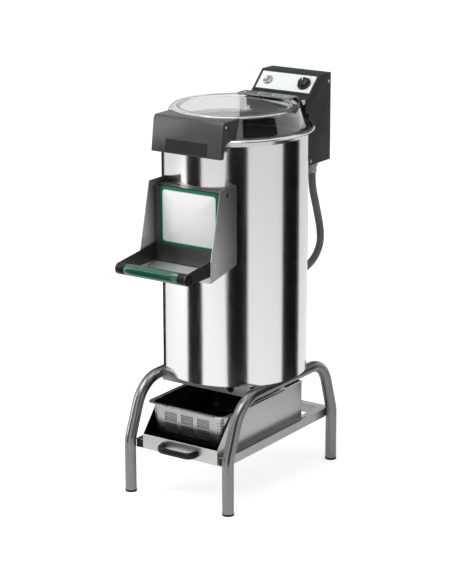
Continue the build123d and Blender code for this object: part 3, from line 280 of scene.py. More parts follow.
def moulded_plastic(name, dark, light, roughness, grain, depth, shine=0.5):
    """Plastic from a grained mould: a fine even grain, and a faint cloudiness in colour and gloss."""
    material, surface = finish_base(name, dark, roughness, shine=shine)
    cloud = noise_pattern(surface, 14, 4.0)
    raise_pattern(surface, noise_pattern(surface, grain, 2.0), depth)
    tint_pattern(surface, spread(cloud, 0.0, 1.0), dark, light)
    vary_gloss(surface, cloud)
    return material


conduit_plastic = moulded_plastic("conduit_plastic", (0.115, 0.116, 0.135), (0.155, 0.156, 0.178), 0.3, 900,
                                  0.0001, 0.8)
gland_turn = radians(73.4)


def beside_drum(reach, height):
    """Point in the upright plane through the drum's axis in which the conduit hangs."""
    return (reach * cos(gland_turn), drum_y + reach * sin(gland_turn), height)


conduit_route = [beside_drum(*point) for point in (
    (0.280, 0.834), (0.280, 0.795), (0.296, 0.738), (0.318, 0.645), (0.306, 0.5987), (0.273, 0.5635),
    (0.228, 0.548))]
route_curve = bpy.data.curves.new("conduit_route", "CURVE")
route_curve.dimensions = "3D"
spline = route_curve.splines.new("NURBS")
spline.points.add(len(conduit_route) - 1)
for point, place in zip(spline.points, conduit_route):
    point.co = (*place, 1)
spline.order_u = 3
spline.use_endpoint_u = True
spline.resolution_u = 32
route_object = put("conduit_route", route_curve)
route_points = np.array([v.co for v in bpy.data.meshes.new_from_object(route_object).vertices])
bpy.data.objects.remove(route_object)


def run_of(path):
    """How far along a path each of its points lies."""
    return np.concatenate([[0], np.cumsum(np.linalg.norm(np.diff(path, axis=0), axis=1))])


def points_at(path, steps):
    """Points of a path at given distances along it."""
    return np.stack([np.interp(steps, run_of(path), path[:, k]) for k in range(3)], axis=1)


def heading(path):
    """Unit vector along a path at each of its points."""
    ahead = np.gradient(path, axis=0)
    return ahead / np.linalg.norm(ahead, axis=1)[:, None]


def round_lap(around, power=2.0):
    """Once round a circle, or round a square with rounded corners where the power is more than two: cosine
    and sine of even turns, each divided by the power's root of the sum of both to that power."""
    turn = np.linspace(0, 2 * pi, around, endpoint=False)
    across, along = np.cos(turn), np.sin(turn)
    reach = (np.abs(across) ** power + np.abs(along) ** power) ** (-1 / power)
    return across * reach, along * reach


def swept(path, side, up, radius, around, power=2.0):
    """Tube along a path: each ring is the path's point plus the radius times the lap's first number along the
    side vector and its second along the up vector."""
    across, along = round_lap(around, power)
    side, up = (np.broadcast_to(way, path.shape)[:, None, :] for way in (side, up))
    ring = across[None, :, None] * side + along[None, :, None] * up
    return path[:, None, :] + np.broadcast_to(radius, len(path))[:, None, None] * ring


def hose_points(route, pitch=0.0046, rings_per_rib=8, valley=0.0092, rib=0.0018, around=28):
    """Tube along a route: at each step a circle square to the route, whose radius swings out from the valley
    by the rib's height once per pitch, with rounded crests and tighter valleys."""
    steps = np.arange(0, run_of(route)[-1], pitch / rings_per_rib)
    centre = points_at(route, steps)
    side = np.array([-sin(gland_turn), cos(gland_turn), 0.0])
    swing = np.abs(np.cos(pi * steps / pitch)) ** 0.6
    return swept(centre, side, np.cross(side, heading(centre)), valley + rib * swing, around)


conduit_hose = grid_piece("conduit_hose", hose_points(route_points), conduit_plastic, "stand",
                          "conduit_plastic", "conduit", crease=80)


# ------------ conduit glands
# Grey nylon glands under the control box and on the back of the drum. Each has a hexagon, a domed nut with
# ribs for the fingers, and holds the hose in its mouth.
def dress(material, *names):
    """Give CAD nodes their finish."""
    for name in names:
        for material_slot in nodes[name].material_slots:
            material_slot.material = material


dress(moulded_plastic("gland_grey", 0.36, 0.42, 0.42, 1100, 0.00008), "conduit_glands")


# ------------ stand
# Two arches of 32 mm stainless tube, bent and satin brushed along their length, on black rubber feet. Square
# shelf rails, cross plates and the base plate are of the same brushed steel; the rails end in black plugs.
def brushed_metal(name, dark, light, roughness, stretch, depth=0.000006):
    """Brushed metal: long fine scratches along one axis, and broad soft patches of colour and gloss."""
    material, surface = finish_base(name, light, roughness, 1.0)
    scratch = noise_pattern(surface, stretch, 2.0)
    patch = noise_pattern(surface, 7, 2.0)
    both = reckon("MULTIPLY", spread(scratch, 0.35, 1.0), spread(patch, 0.6, 1.0))
    tint_pattern(surface, both, dark, light)
    vary_gloss(surface, scratch)
    raise_pattern(surface, scratch, depth, 0.5)
    return material


tube_steel = brushed_metal("tube_steel", (0.17, 0.167, 0.163), (0.30, 0.296, 0.29), 0.29, (1500, 1500, 60))
cap_rubber = moulded_plastic("cap_rubber", 0.012, 0.024, 0.6, 700, 0.0001, 0.25)


def arch_path(x, step=0.006):
    """Centre line of an arch: straight runs joined by tangent arcs, from the front foot to the rear one."""
    foot_y, foot_z, knee_z, top_z = 0.263, 0.006, 0.153, 0.307
    front_lean, rear_lean = radians(21.8), radians(17.8)
    rise = top_z - knee_z
    corners = np.array([(x, -foot_y, foot_z), (x, -foot_y, knee_z),
                        (x, -foot_y + rise * np.tan(front_lean), top_z),
                        (x, foot_y - rise * np.tan(rear_lean), top_z),
                        (x, foot_y, knee_z), (x, foot_y, foot_z)])
    radii = (0.070, 0.103, 0.087, 0.070)
    points = [corners[:1]]
    for k, radius in enumerate(radii):
        back = corners[k] - corners[k + 1]
        ahead = corners[k + 2] - corners[k + 1]
        back /= np.linalg.norm(back)
        ahead /= np.linalg.norm(ahead)
        half = np.arccos(np.clip(back @ ahead, -1, 1)) / 2
        reach = radius / np.tan(half)
        middle = corners[k + 1] + (back + ahead) / np.linalg.norm(back + ahead) * radius / np.sin(half)
        start = corners[k + 1] + back * reach - middle
        stop = corners[k + 1] + ahead * reach - middle
        turn = np.arccos(np.clip(start @ stop / radius ** 2, -1, 1))
        part = np.linspace(0, turn, max(int(turn * radius / step), 6))[:, None]
        points.append(middle + (start * np.sin(turn - part) + stop * np.sin(part)) / np.sin(turn))
    points.append(corners[-1:])
    return np.concatenate(points)


leg_x, tube_radius = 0.163, 0.016
across = np.array([1.0, 0.0, 0.0])
both_hands = (("left", -1), ("right", 1))
for hand, side in both_hands:
    path = arch_path(side * leg_x)
    grid_piece(f"{hand}_leg_tube", swept(path, across, np.cross(across, heading(path)), tube_radius, 40),
               tube_steel, "stand", "stand_steel", f"{hand}_leg_arch")

dress(brushed_metal("rail_steel", 0.34, (0.52, 0.515, 0.51), 0.34, (1800, 30, 1800)),
      "left_shelf_rail", "right_shelf_rail")
dress(brushed_metal("plate_steel", 0.36, (0.55, 0.55, 0.545), 0.34, (30, 1800, 1800)),
      "rear_shelf_rail", "cross_plates", "base_plate")
dress(cap_rubber, "tube_caps", "cable_grommet")


def bead_points(path, radius=0.0016, puddle=0.0024, ripple=0.25, step=0.0004, around=10):
    """Weld bead: a tube along a short path whose radius swells with each puddle and tapers at both ends."""
    length = run_of(path)[-1]
    steps = np.linspace(0, length, int(length / step))
    centre = points_at(path, steps)
    ahead = heading(centre)
    side = np.cross(ahead, (0.31, 0.52, 0.79))
    side /= np.linalg.norm(side, axis=1)[:, None]
    taper = np.sqrt(np.clip(np.minimum(steps, length - steps) / radius, 0, 1))
    size = radius * taper * (1 + ripple * np.abs(np.sin(pi * steps / puddle)))
    return swept(centre, side, np.cross(ahead, side), size, around)


# The rails are welded to the legs with short beads coloured a dark brownish grey.
weld_steel = brushed_metal("weld_steel", (0.07, 0.06, 0.055), (0.25, 0.22, 0.20), 0.42, 300, 0.0002)
weld_low, weld_high = 0.130, 0.153
for hand, side in both_hands:
    for end, weld_x, weld_y in (("front", 0.1483, -0.2474), ("rear", 0.1468, 0.2492)):
        weld_path = np.array([(side * weld_x, weld_y, height) for height in (weld_low, weld_high)])
        grid_piece(f"rail_weld_{hand}_{end}", bead_points(weld_path), weld_steel, "stand", "stand_steel")


# ------------ drum
# The drum is one wrap of polished stainless sheet with a rolled rim. Rolling leaves it very slightly wavy, so
# that what it mirrors has soft, faintly uneven edges. The lining inside is bonded black grit.
def polished_sheet(name, colour, roughness, wave_stretch, wave_depth):
    """Mirror-like rolled sheet: broad shallow waves that bend its reflections, and a faint upright grain."""
    material, surface = finish_base(name, colour, roughness, 1.0)
    grain = noise_pattern(surface, (700, 700, 14), 2.0)
    raise_pattern(surface, noise_pattern(surface, wave_stretch, 1.0, 0.4), wave_depth)
    raise_pattern(surface, grain, 0.000012, 0.5)
    vary_gloss(surface, grain, 0.8, 1.3)
    return material


dress(polished_sheet("drum_steel", (0.77, 0.77, 0.765), 0.14, (7, 7, 2.2), 0.0007), "drum_shell")
dress(polished_sheet("rim_steel", (0.68, 0.68, 0.675), 0.16, 12, 0.0003), "drum_rim")

grit_black, grit_surface = finish_base("grit_black", 0.05, 0.75)
grit = noise_pattern(grit_surface, 420, 6.0, 0.75)
raise_pattern(grit_surface, grit, 0.0016)
tint_pattern(grit_surface, spread(grit, 0.0, 1.0, 0.35, 0.7), (0.012, 0.010, 0.009), (0.085, 0.070, 0.062))
dress(grit_black, "abrasive_lining", "turntable_grit")
dress(cap_rubber, "mouth_seal", "shaft_seal")


# ------------ drive
# Under the chamber: the turntable of cast aluminium on its shaft, bearings in a cast housing, a flat belt
# between two iron pulleys, and the motor hung on a steel plate.
dress(brushed_metal("cast_aluminium", (0.33, 0.33, 0.34), (0.55, 0.55, 0.56), 0.5, 180, 0.0002),
      "turntable", "bearing_housing")
machined_steel = brushed_metal("machined_steel", 0.45, 0.66, 0.22, (80, 2400, 2400))
dress(machined_steel, "shaft_bearings", "turntable_cap", "main_shaft", "motor_shaft", "plate_posts")
dress(brushed_metal("inner_steel", 0.38, 0.56, 0.34, (40, 1800, 40)),
      "chamber_floor", "drain_spout", "motor_plate")
dress(brushed_metal("cast_iron", (0.08, 0.08, 0.085), (0.22, 0.22, 0.23), 0.55, 260, 0.0003),
      "driven_pulley", "motor_pulley")
dress(moulded_plastic("motor_paint", (0.10, 0.12, 0.14), (0.15, 0.17, 0.19), 0.45, 600, 0.00015),
      "motor_body")
dress(moulded_plastic("belt_rubber", 0.02, 0.04, 0.6, 500, 0.0002), "drive_belt")


# ------------ chute and door
# Two flat cheeks of brushed stainless sheet are welded to the drum on each side of the discharge opening,
# with a sloping floor between them. The door is a shallow folded tray on two pins between the cheeks.
def object_axes(material):
    """The object's own coordinates, apart from each other."""
    place = add_node(material.node_tree, "TexCoord", {})["Object"]
    return add_node(place, "SeparateXYZ", {"Vector": place})


def shade_where(material, share, shade):
    """Paint shade on a surface: multiply its colour by a shade, as far as a share from nothing to one says.
    """
    colour = material.node_tree.nodes["Principled BSDF"].inputs["Base Color"]
    blend = add_node(share, "Mix", {"A": colour.links[0].from_socket, "B": rgba(shade), "Factor": share},
                     data_type="RGBA", blend_type="MULTIPLY")
    feed(colour, blend["Result"])


def shade_across(material, axis, start, stop, shade):
    """Paint shade on a surface: multiply its colour by a shade that sets in from start to stop along an
    object axis.
    """
    shade_where(material, spread(object_axes(material)[axis], 0.0, 1.0, start, stop), shade)


cheek_steel = brushed_metal("cheek_steel", (0.66, 0.655, 0.645), (0.80, 0.795, 0.785), 0.42, (2400, 2400, 24))
cheek_steel.node_tree.nodes["Principled BSDF"].inputs["Metallic"].default_value = 0.6
# The cheeks are painted darker towards their back and towards their top, as shade.
shade_across(cheek_steel, "Y", -0.250, -0.160, (0.20, 0.195, 0.19))
shade_across(cheek_steel, "Z", 0.700, 0.880, 0.42)
dress(cheek_steel, "left_chute_cheek", "right_chute_cheek")
# The chute floor gets a brighter steel colour than the steel inside the drum, as painted light falling on it
# through the opening.
dress(brushed_metal("chute_steel_painted_light", (0.70, 0.69, 0.665), (0.84, 0.83, 0.80), 0.5, (2400, 60, 60)),
      "chute_floor")
door_steel = brushed_metal("door_steel", 0.12, 0.20, 0.36, (24, 2400, 2400))
# The door's top fold is painted dark brown, as shade.
shade_across(door_steel, "Z", 0.8675, 0.8685, (0.12, 0.09, 0.075))
dress(door_steel, "door_panel")
dress(brushed_metal("arm_steel", 0.06, 0.11, 0.36, (2400, 24, 2400)), "door_arms")
dress(machined_steel, "door_hinge_pins")


# ------------ door label
# A thin printed plate is glued on the door's face: white with cut corners, and a dark green border inside
# its edge.
def distance_to_edge(across, along, half_width, half_height, corner):
    """Distance to the nearest edge of a rectangle with cut corners: the least of the gap to the side, the gap
    to the top or bottom, and the gap to the slanting corner line."""
    side = reckon("SUBTRACT", half_width, reckon("ABSOLUTE", across))
    end = reckon("SUBTRACT", half_height, reckon("ABSOLUTE", along))
    half_root = 0.7071
    slant = reckon("MULTIPLY_ADD", reckon("ADD", side, end), half_root, -half_root * corner)
    return reckon("MINIMUM", reckon("MINIMUM", side, end), slant)


def bordered_print(name, place, turn, half_width, half_height, corner, bands, roughness):
    """Printed film: bands of flat colour that follow the edge of a plate, laid out on the plate's own plane.
    Each band is its inner limit in metres from the edge and its colour; the last band fills the middle."""
    material, surface = finish_base(name, bands[-1][1], roughness, shine=0.2)
    flat = add_node(surface, "Mapping", {"Vector": add_node(surface, "TexCoord", {})["Object"],
                                         "Location": place, "Rotation": turn}, vector_type="TEXTURE")
    parts = add_node(surface, "SeparateXYZ", {"Vector": flat["Vector"]})
    edge = distance_to_edge(parts["X"], parts["Y"], half_width, half_height, corner)
    ramp_scale = 20.0
    ramp = surface.id_data.nodes.new("ShaderNodeValToRGB")
    ramp.color_ramp.interpolation = "CONSTANT"
    feed(ramp.inputs["Fac"], reckon("MULTIPLY", edge, ramp_scale))
    start, stops = 0.0, ramp.color_ramp.elements
    for number, (limit, colour) in enumerate(bands):
        stop = stops[number] if number < 2 else stops.new(start * ramp_scale)
        stop.position = start * ramp_scale
        stop.color = rgba(colour)
        start = limit
    feed(surface.inputs["Base Color"], ramp.outputs["Color"])
    vary_gloss(surface, noise_pattern(surface, 35), 0.95, 1.05)
    raise_pattern(surface, noise_pattern(surface, 600, 2.0), 0.000004)
    return material


label_size = (0.096, 0.0805, 0.011)
label_back, label_level = -0.205, 0.787
label_print = bordered_print("label_print", (0, label_back, label_level), (radians(90), 0, 0), *label_size,
                             [(0.0012, (0.012, 0.10, 0.055)), (0.0092, (0.010, 0.135, 0.068)),
                              (0.0112, (0.50, 0.70, 0.58)), (1, (0.88, 0.885, 0.88))], 0.5)


def label_points(half_width, half_height, corner, thickness=0.0006, edge=0.0002):
    """Thin plate with cut corners: its outline at the back, at the front, drawn in a little for the edge, and
    closed to a point in the middle of the face."""
    wide, high = (half_width, half_width - corner), (half_height, half_height - corner)
    outline = np.array([(wide[0], -high[1]), (wide[0], high[1]), (wide[1], high[0]), (-wide[1], high[0]),
                        (-wide[0], high[1]), (-wide[0], -high[1]), (-wide[1], -high[0]), (wide[1], -high[0])])
    drawn = outline * (1 - edge / half_height)
    front = label_back - thickness
    rows = [(outline * 0, label_back), (outline, label_back), (outline, front + edge), (drawn, front),
            (drawn * 0, front)]
    return np.stack([np.column_stack([flat[:, 0], np.full(8, y), label_level + flat[:, 1]])
                     for flat, y in rows])


grid_piece("printed_label", label_points(*label_size), label_print, "discharge_door", "label_green",
           "door_label")


# ------------ handle bar
# The door is lifted by a bar across the ends of its arms: a glossy green sleeve between two black end pieces,
# with a round black cap and its screw on the outside of each arm.
def turned_points(profile, axis_point, axis_way, around=64):
    """Body of revolution: each profile point, a distance along the axis and a radius, is swept round it."""
    way = np.array(axis_way, float)
    way /= np.linalg.norm(way)
    side = np.cross(way, (0, 0, 1.0) if abs(way[2]) < 0.9 else (1.0, 0, 0))
    side /= np.linalg.norm(side)
    profile = np.array(profile, float)
    centre = np.array(axis_point) + profile[:, :1] * way
    return swept(centre, side, np.cross(way, side), profile[:, 1], around)


grip_green = moulded_plastic("grip_green", (0.004, 0.070, 0.034), (0.006, 0.088, 0.043), 0.16, 500, 0.000004,
                             0.9)
black_gloss = moulded_plastic("black_gloss", 0.005, 0.009, 0.3, 600, 0.00002, 0.25)
bar_centre = (0.0, -0.368, 0.673)
sleeve_profile = [(-0.087, 0.0), (-0.087, 0.0142), (-0.0862, 0.0154), (-0.085, 0.016), (-0.060, 0.016),
                  (0.0, 0.016), (0.060, 0.016), (0.085, 0.016), (0.0862, 0.0154), (0.087, 0.0142),
                  (0.087, 0.0)]
end_profile = [(0.087, 0.0), (0.087, 0.0145), (0.088, 0.0157), (0.0892, 0.016), (0.1075, 0.016),
               (0.109, 0.0155), (0.109, 0.0)]
cap_profile = [(0.112, 0.0), (0.112, 0.0158), (0.1132, 0.0158), (0.1141, 0.0150), (0.1141, 0.0105),
               (0.1136, 0.0100), (0.1134, 0.0068), (0.1138, 0.0063), (0.1142, 0.0045), (0.1143, 0.0)]
grid_piece("grip_sleeve", turned_points(sleeve_profile, bar_centre, (1, 0, 0)), grip_green, "discharge_door",
           "grip_green", "handle_grip")
for hand, side in both_hands:
    grid_piece(f"{hand}_bar_end", turned_points(end_profile, bar_centre, (side, 0, 0)), black_gloss,
               "discharge_door", "black_gloss", "handle_ends")
    grid_piece(f"{hand}_bar_cap", turned_points(cap_profile, bar_centre, (side, 0, 0)), black_gloss,
               "discharge_door", "black_gloss")


# ------------ lid
# One clear moulding: a dished top inside a raised border, a cone down to a flange on the rim, and a square
# bay in front. The edges of the moulding are softly rounded and it is faintly smoky.
clear_plastic, clear_surface = finish_base("clear_plastic", (0.94, 0.95, 0.945), 0.02)
clear_surface.inputs["Transmission Weight"].default_value = 1.0
clear_surface.inputs["IOR"].default_value = 1.62
raise_pattern(clear_surface, noise_pattern(clear_surface, (7, 7, 4), 1.0), 0.0006, 0.4)


def eased(corners, reaches, steps=6):
    """Profile with eased corners: a corner gives way to a parabola between the points that lie its reach away
    from it on either side."""
    corners = np.array(corners, float)
    share = np.linspace(0, 1, steps)[:, None]
    points = [corners[:1]]
    for before, corner, after, reach in zip(corners[:-2], corners[1:-1], corners[2:], reaches):
        start, stop = (corner + (beside - corner) / np.linalg.norm(beside - corner) * reach
                       for beside in (before, after))
        points.append((1 - share) ** 2 * start + 2 * share * (1 - share) * corner + share ** 2 * stop)
    return np.concatenate([*points, corners[-1:]])


def lid_section(inset):
    """Half section of the dished top and its shoulder as height and radius, moved in by the wall."""
    dish, border, shoulder = 1.058 - inset, 1.062 - inset, 1.056 - inset / 2
    return [(dish, 0.0), (dish, 0.150 + 0.6 * inset), (border, 0.154 + 0.6 * inset),
            (border, 0.172 - inset / 2), (shoulder, 0.178 - inset)]


def block_mesh(name, low, high):
    """Closed block between two corners: a tube of its four upright edges, with a point at each end."""
    (x0, y0, z0), (x1, y1, z1) = low, high
    ring = np.array([(x0, y0), (x1, y0), (x1, y1), (x0, y1)])
    middle = np.broadcast_to([(x0 + x1) / 2, (y0 + y1) / 2], (4, 2))
    rows = [np.column_stack([flat, np.full(4, z)])
            for flat, z in ((middle, z0), (ring, z0), (ring, z1), (middle, z1))]
    return grid_mesh(name, np.stack(rows))


def carved(solid, tool, operation):
    """One mesh from two closed ones: joined, or the second taken out of the first."""
    body, cutter = put("carved", solid), put("cutter", tool)
    cut = body.modifiers.new("cut", "BOOLEAN")
    cut.operation = operation
    cut.solver = "EXACT"
    cut.object = cutter
    result = bpy.data.meshes.new_from_object(body.evaluated_get(bpy.context.evaluated_depsgraph_get()))
    bpy.data.objects.remove(body)
    bpy.data.objects.remove(cutter)
    return result


lid_axis = ((0, drum_y, 0), (0, 0, 1))
lid_wall = 0.0035
outer_profile = eased([*lid_section(0), (1.0045, 0.193), (1.0045, 0.2035), (1.001, 0.2035), (1.001, 0)],
                      (0.003, 0.003, 0.004, 0.004, 0.004, 0.001, 0.001))
inner_profile = eased([*lid_section(lid_wall), (0.999, 0.19006), (0.999, 0)],
                      (0.003, 0.003, 0.004, 0.004, 0.0001))
lid_outside = grid_mesh("lid_outside", turned_points(outer_profile, *lid_axis, 256))
lid_inside = grid_mesh("lid_inside", turned_points(inner_profile, *lid_axis, 256))
bay_outside = block_mesh("bay_outside", (-0.1097, -0.1982, 1.0063), (0.1097, -0.1102, 1.0544))
bay_inside = block_mesh("bay_inside", (-0.1062, -0.1947, 1.0052), (0.1062, -0.1102, 1.0509))
lid_mesh = carved(carved(lid_outside, bay_outside, "UNION"), lid_inside, "DIFFERENCE")
lid_mesh = carved(lid_mesh, bay_inside, "DIFFERENCE")
lid_mesh.name = "moulded_lid"
smooth_shade(lid_mesh, 38)
lid_mesh.materials.clear()
stand_piece("moulded_lid", lid_mesh, clear_plastic, "lid", "lid_shell")


# The front cover is a black moulding over the bay. Its face leans back a little and carries a ribbed pad for
# the hand; its sides reach back to the cone and are held by one screw each.
def soften(node, width, material, body, segments=3):
    """A copy of a CAD node with its seams closed and its sharp edges rounded by a small bevel, so that the
    edges catch the light. It takes the node's place."""
    mesh = nodes[node].data.copy()
    mesh.name = f"{node}_rounded"
    work = bmesh.new()
    work.from_mesh(mesh)
    bmesh.ops.remove_doubles(work, verts=work.verts, dist=1e-6)
    bmesh.ops.dissolve_limit(work, angle_limit=radians(1.0), verts=work.verts, edges=work.edges)
    work.to_mesh(mesh)
    work.free()
    mesh.materials.clear()
    mesh.polygons.foreach_set("use_smooth", np.ones(len(mesh.polygons), bool))
    piece = stand_piece(f"{node}_rounded", mesh, material, body, node)
    bevel = piece.modifiers.new("rounded_edges", "BEVEL")
    bevel.width = width
    bevel.segments = segments
    bevel.limit_method = "ANGLE"
    bevel.angle_limit = radians(38)
    bevel.harden_normals = True


cover_black = moulded_plastic("cover_black", (0.029, 0.029, 0.0295), (0.043, 0.043, 0.0435), 0.34, 560,
                              0.0003)
soften("lid_cover", 0.0035, cover_black, "lid", 4)

pad_black = moulded_plastic("pad_black", (0.008, 0.008, 0.0085), (0.012, 0.012, 0.0125), 0.5, 1200, 0.00008,
                            0.25)


def pad_points(width=0.134, height=0.034, border=0.0012, rib=0.0030, stand=0.0010):
    """Ribbed pad: a grid over the leaning face whose height is a field of small crossed ribs, each a rounded
    ridge that runs at a slant, fading to a plain border at the edge."""
    foot_y, foot_z, lean = -0.219, 0.962, atan2(0.012, 0.0885)
    u, v = np.meshgrid(np.linspace(-width / 2, width / 2, 268), np.linspace(0, height, 78), indexing="ij")
    edge = np.minimum(width / 2 - np.abs(u), np.minimum(v, height - v))
    ribs = np.maximum(np.abs(np.sin(pi * (u + v) / rib)), np.abs(np.sin(pi * (u - v) / rib)))
    field = np.clip((edge - border) / 0.0006, 0, 1)
    lift = np.where(edge <= 1e-9, 0.0, stand * (0.55 + 0.45 * (1 - field) + 0.45 * field * ribs ** 2))
    up = 0.004 + v
    y, z = foot_y + up * sin(lean) - lift * cos(lean), foot_z + up * cos(lean) - lift * sin(lean)
    return np.stack([u, y, z], axis=-1)


grid_piece("grip_pad", pad_points(), pad_black, "lid", "cover_black", "lid_pad", crease=60, wrap_cols=False)


# ------------ lid hinge
# A folded steel strap is screwed on the lid's top and ends in knuckles on a steel pin. Two ears on the
# control box carry the pin.
box_black = moulded_plastic("box_black", (0.012, 0.012, 0.0125), (0.02, 0.02, 0.0205), 0.5, 760, 0.0002, 0.25)
dress(brushed_metal("strap_steel", 0.20, 0.32, 0.3, (24, 2400, 2400)), "lid_hinge_strap")
dress(machined_steel, "lid_hinge_pin")
dress(box_black, "lid_hinge_ears")


# ------------ control box
# A folded sheet-steel box with a dark textured powder coat stands off the drum on four spacers. Its top
# slopes towards the user and carries the panel, and a flat cover closes its back.
soften("control_box", 0.0007, box_black, "stand")
dress(box_black, "box_back_cover")
dress(black_gloss, "lid_switch", "electrical_units")
dress(machined_steel, "box_spacers")

slope = atan2(0.0525, 0.054)
panel_middle = (0, 0.268, 1.08375)
panel_out = (0, -sin(slope), cos(slope))
panel_print = bordered_print("panel_print", panel_middle, (slope, 0, 0), 0.095, 0.035, 0.003,
                             [(0.0035, (0.012, 0.013, 0.013)), (0.0062, (0.012, 0.10, 0.075)),
                              (1, (0.84, 0.85, 0.845))], 0.22)
dress(panel_print, "control_panel")


def on_panel(local):
    """Place points that are given along, up and out of the sloping panel's face."""
    local = np.asarray(local, float)
    along, up, out = local[..., 0], local[..., 1], local[..., 2]
    return np.stack([along, panel_middle[1] + up * cos(slope) - out * sin(slope),
                     panel_middle[2] + up * sin(slope) + out * cos(slope)], axis=-1)


# Round the knob the panel is printed with minute marks and plain numbers in black, a hair above the film.
dial_black = moulded_plastic("dial_black", 0.02, 0.03, 0.4, 500, 0.00002)
knob_x, print_lift = 0.060, 0.00106
dial_start, number_step = 225, 54


def dial_marks(inner, outer, count, width):
    """Short radial bars at even angles round the knob: four corners each."""
    angle = np.radians(np.linspace(dial_start, dial_start - 5 * number_step, count))
    way = np.stack([np.cos(angle), np.sin(angle)], axis=-1)
    side = np.stack([-way[:, 1], way[:, 0]], axis=-1) * width / 2
    corners = np.stack([way * outer - side, way * outer + side, way * inner + side, way * inner - side],
                       axis=1) + (knob_x, 0)
    flat = np.concatenate([corners, np.full((count, 4, 1), print_lift)], axis=-1)
    mesh = bpy.data.meshes.new("dial_marks")
    mesh.from_pydata(on_panel(flat).reshape(-1, 3).tolist(), [], np.arange(count * 4).reshape(-1, 4).tolist())
    return mesh


stand_piece("dial_marks", dial_marks(0.0212, 0.0236, 11, 0.0007), dial_black, "stand")
number_ring = 0.0262
for number in range(6):
    angle = radians(dial_start - number_step * number)
    text = bpy.data.curves.new(f"dial_number_{number}", "FONT")
    text.body = str(number)
    text.size = 0.0050
    text.align_x = text.align_y = "CENTER"
    text_object = put("dial_text", text)
    number_mesh = bpy.data.meshes.new_from_object(text_object)
    bpy.data.objects.remove(text_object)
    flat = np.array([v.co for v in number_mesh.vertices])
    flat += (knob_x + number_ring * cos(angle), number_ring * sin(angle), print_lift)
    number_mesh.vertices.foreach_set("co", on_panel(flat).ravel())
    number_mesh.update()
    number_mesh.materials.clear()
    stand_piece(f"dial_number_{number}", number_mesh, dial_black, "stand")

# The start button is a dished steel cap in a bright turned ring.
button_steel = brushed_metal("button_steel", (0.16, 0.155, 0.15), (0.34, 0.335, 0.33), 0.3, 700)
chrome, chrome_surface = finish_base("chrome_ring", 0.42, 0.16, 1.0)
raise_pattern(chrome_surface, noise_pattern(chrome_surface, 900, 2.0), 0.00001)
button_centre = tuple(on_panel((-0.060, 0.0, 0.0)))
ring_profile = [(0.001, 0.0101), (0.0062, 0.0101), (0.0068, 0.0106), (0.0070, 0.0113), (0.0067, 0.0122),
                (0.0052, 0.0136), (0.0032, 0.0143), (0.001, 0.0145)]
grid_piece("button_ring", turned_points(ring_profile, button_centre, panel_out), chrome, "stand",
           "machined_steel", "button_bezel", wrap_rows=True)
cap_profile = [(0.0043, 0.0), (0.0043, 0.0098), (0.0074, 0.0099), (0.0080, 0.0096), (0.0083, 0.0090),
               (0.0082, 0.0078), (0.0076, 0.0052), (0.0073, 0.0048), (0.0073, 0.0042), (0.0076, 0.0040),
               (0.0074, 0.0020), (0.0073, 0.0)]
grid_piece("button_cap", turned_points(cap_profile, button_centre, panel_out), button_steel, "start_button",
           "machined_steel", "start_button")


# The timer knob is moulded in black: a low skirt, a fluted grip, and a bar across its top with a white line.
def knob_points(flutes=18, swing=0.045, around=144):
    """Fluted knob: a turned profile whose grip part swings in and out once per flute round the axis."""
    profile = np.array([(0.0013, 0.0), (0.0013, 0.0192), (0.0020, 0.0199), (0.0040, 0.0200), (0.0050, 0.0190),
                        (0.0056, 0.0164), (0.0066, 0.0152), (0.0110, 0.0149), (0.0136, 0.0146),
                        (0.0146, 0.0138), (0.0150, 0.0124), (0.0150, 0.0)])
    points = turned_points(profile, (0, 0, 0), (0, 0, 1), around)
    turn = np.arctan2(points[..., 1], points[..., 0])
    grip = ((profile[:, 0] > 0.006) & (profile[:, 1] > 0.013)).astype(float)[:, None]
    points[..., :2] *= (1 + swing * grip * (np.abs(np.cos(flutes / 2 * turn)) ** 0.7 - 0.7))[..., None]
    return on_panel(points + (knob_x, 0, 0))


grid_piece("knob_body", knob_points(), black_gloss, "timer_knob", "black_gloss", "timer_knob", crease=30)
pointer_turn = radians(12)


def bar_points(ahead, length, width, low, high, shrink=0.72, corner=0.0016):
    """Pointer bar: a long rounded rectangle, set ahead of the knob's middle along the way it points, that
    narrows towards its top and is closed to a line in the middle."""
    across, along = round_lap(48, 6)
    outline = np.stack([across * width / 2, along * length / 2], axis=-1)
    levels = [(low, 1.0), (high - corner, shrink), (high - corner * 0.3, shrink * 0.93),
              (high, shrink * 0.82), (high, 0.0)]
    spin = np.array([[cos(pointer_turn), -sin(pointer_turn)], [sin(pointer_turn), cos(pointer_turn)]])
    middle = np.array([knob_x, 0.0]) + spin[:, 1] * ahead
    return on_panel(np.stack([np.column_stack([(outline * size) @ spin.T + middle, np.full(48, level)])
                              for level, size in levels]))


grid_piece("knob_bar", bar_points(0.0, 0.0285, 0.0085, 0.0138, 0.0179), black_gloss, "timer_knob",
           "black_gloss")
line_white = moulded_plastic("line_white", (0.78, 0.78, 0.77), (0.84, 0.84, 0.83), 0.35, 500, 0.00002)
grid_piece("knob_line", bar_points(0.0062, 0.0125, 0.0024, 0.0170, 0.0182, 0.95, 0.0002), line_white,
           "timer_knob", "black_gloss")


# ------------ water inlet
# A brass hose connection on the back of the drum: a hexagon against the sheet and a three-quarter-inch
# thread, which stands out in eight rounded turns.
inlet_brass = brushed_metal("inlet_brass", (0.36, 0.27, 0.12), (0.66, 0.52, 0.27), 0.25, (900, 60, 900))
dress(inlet_brass, "water_inlet")
thread_foot, thread_length, thread_turns, bore = (-0.130, 0.17999, 0.940), 0.0158, 8, 0.0092
steps = np.linspace(0, 1, 90)
thread_radius = 0.0128 + 0.0008 * np.abs(np.sin(pi * steps * thread_turns)) * np.clip((1 - steps) * 12, 0, 1)
thread_profile = [(0.0, bore), *zip(steps * thread_length + 0.0001, thread_radius), (0.0159, bore)]
grid_piece("inlet_thread", turned_points(thread_profile, thread_foot, (0, 1, 0), 48), inlet_brass, "stand",
           "brass_fitting", crease=70, wrap_rows=True)


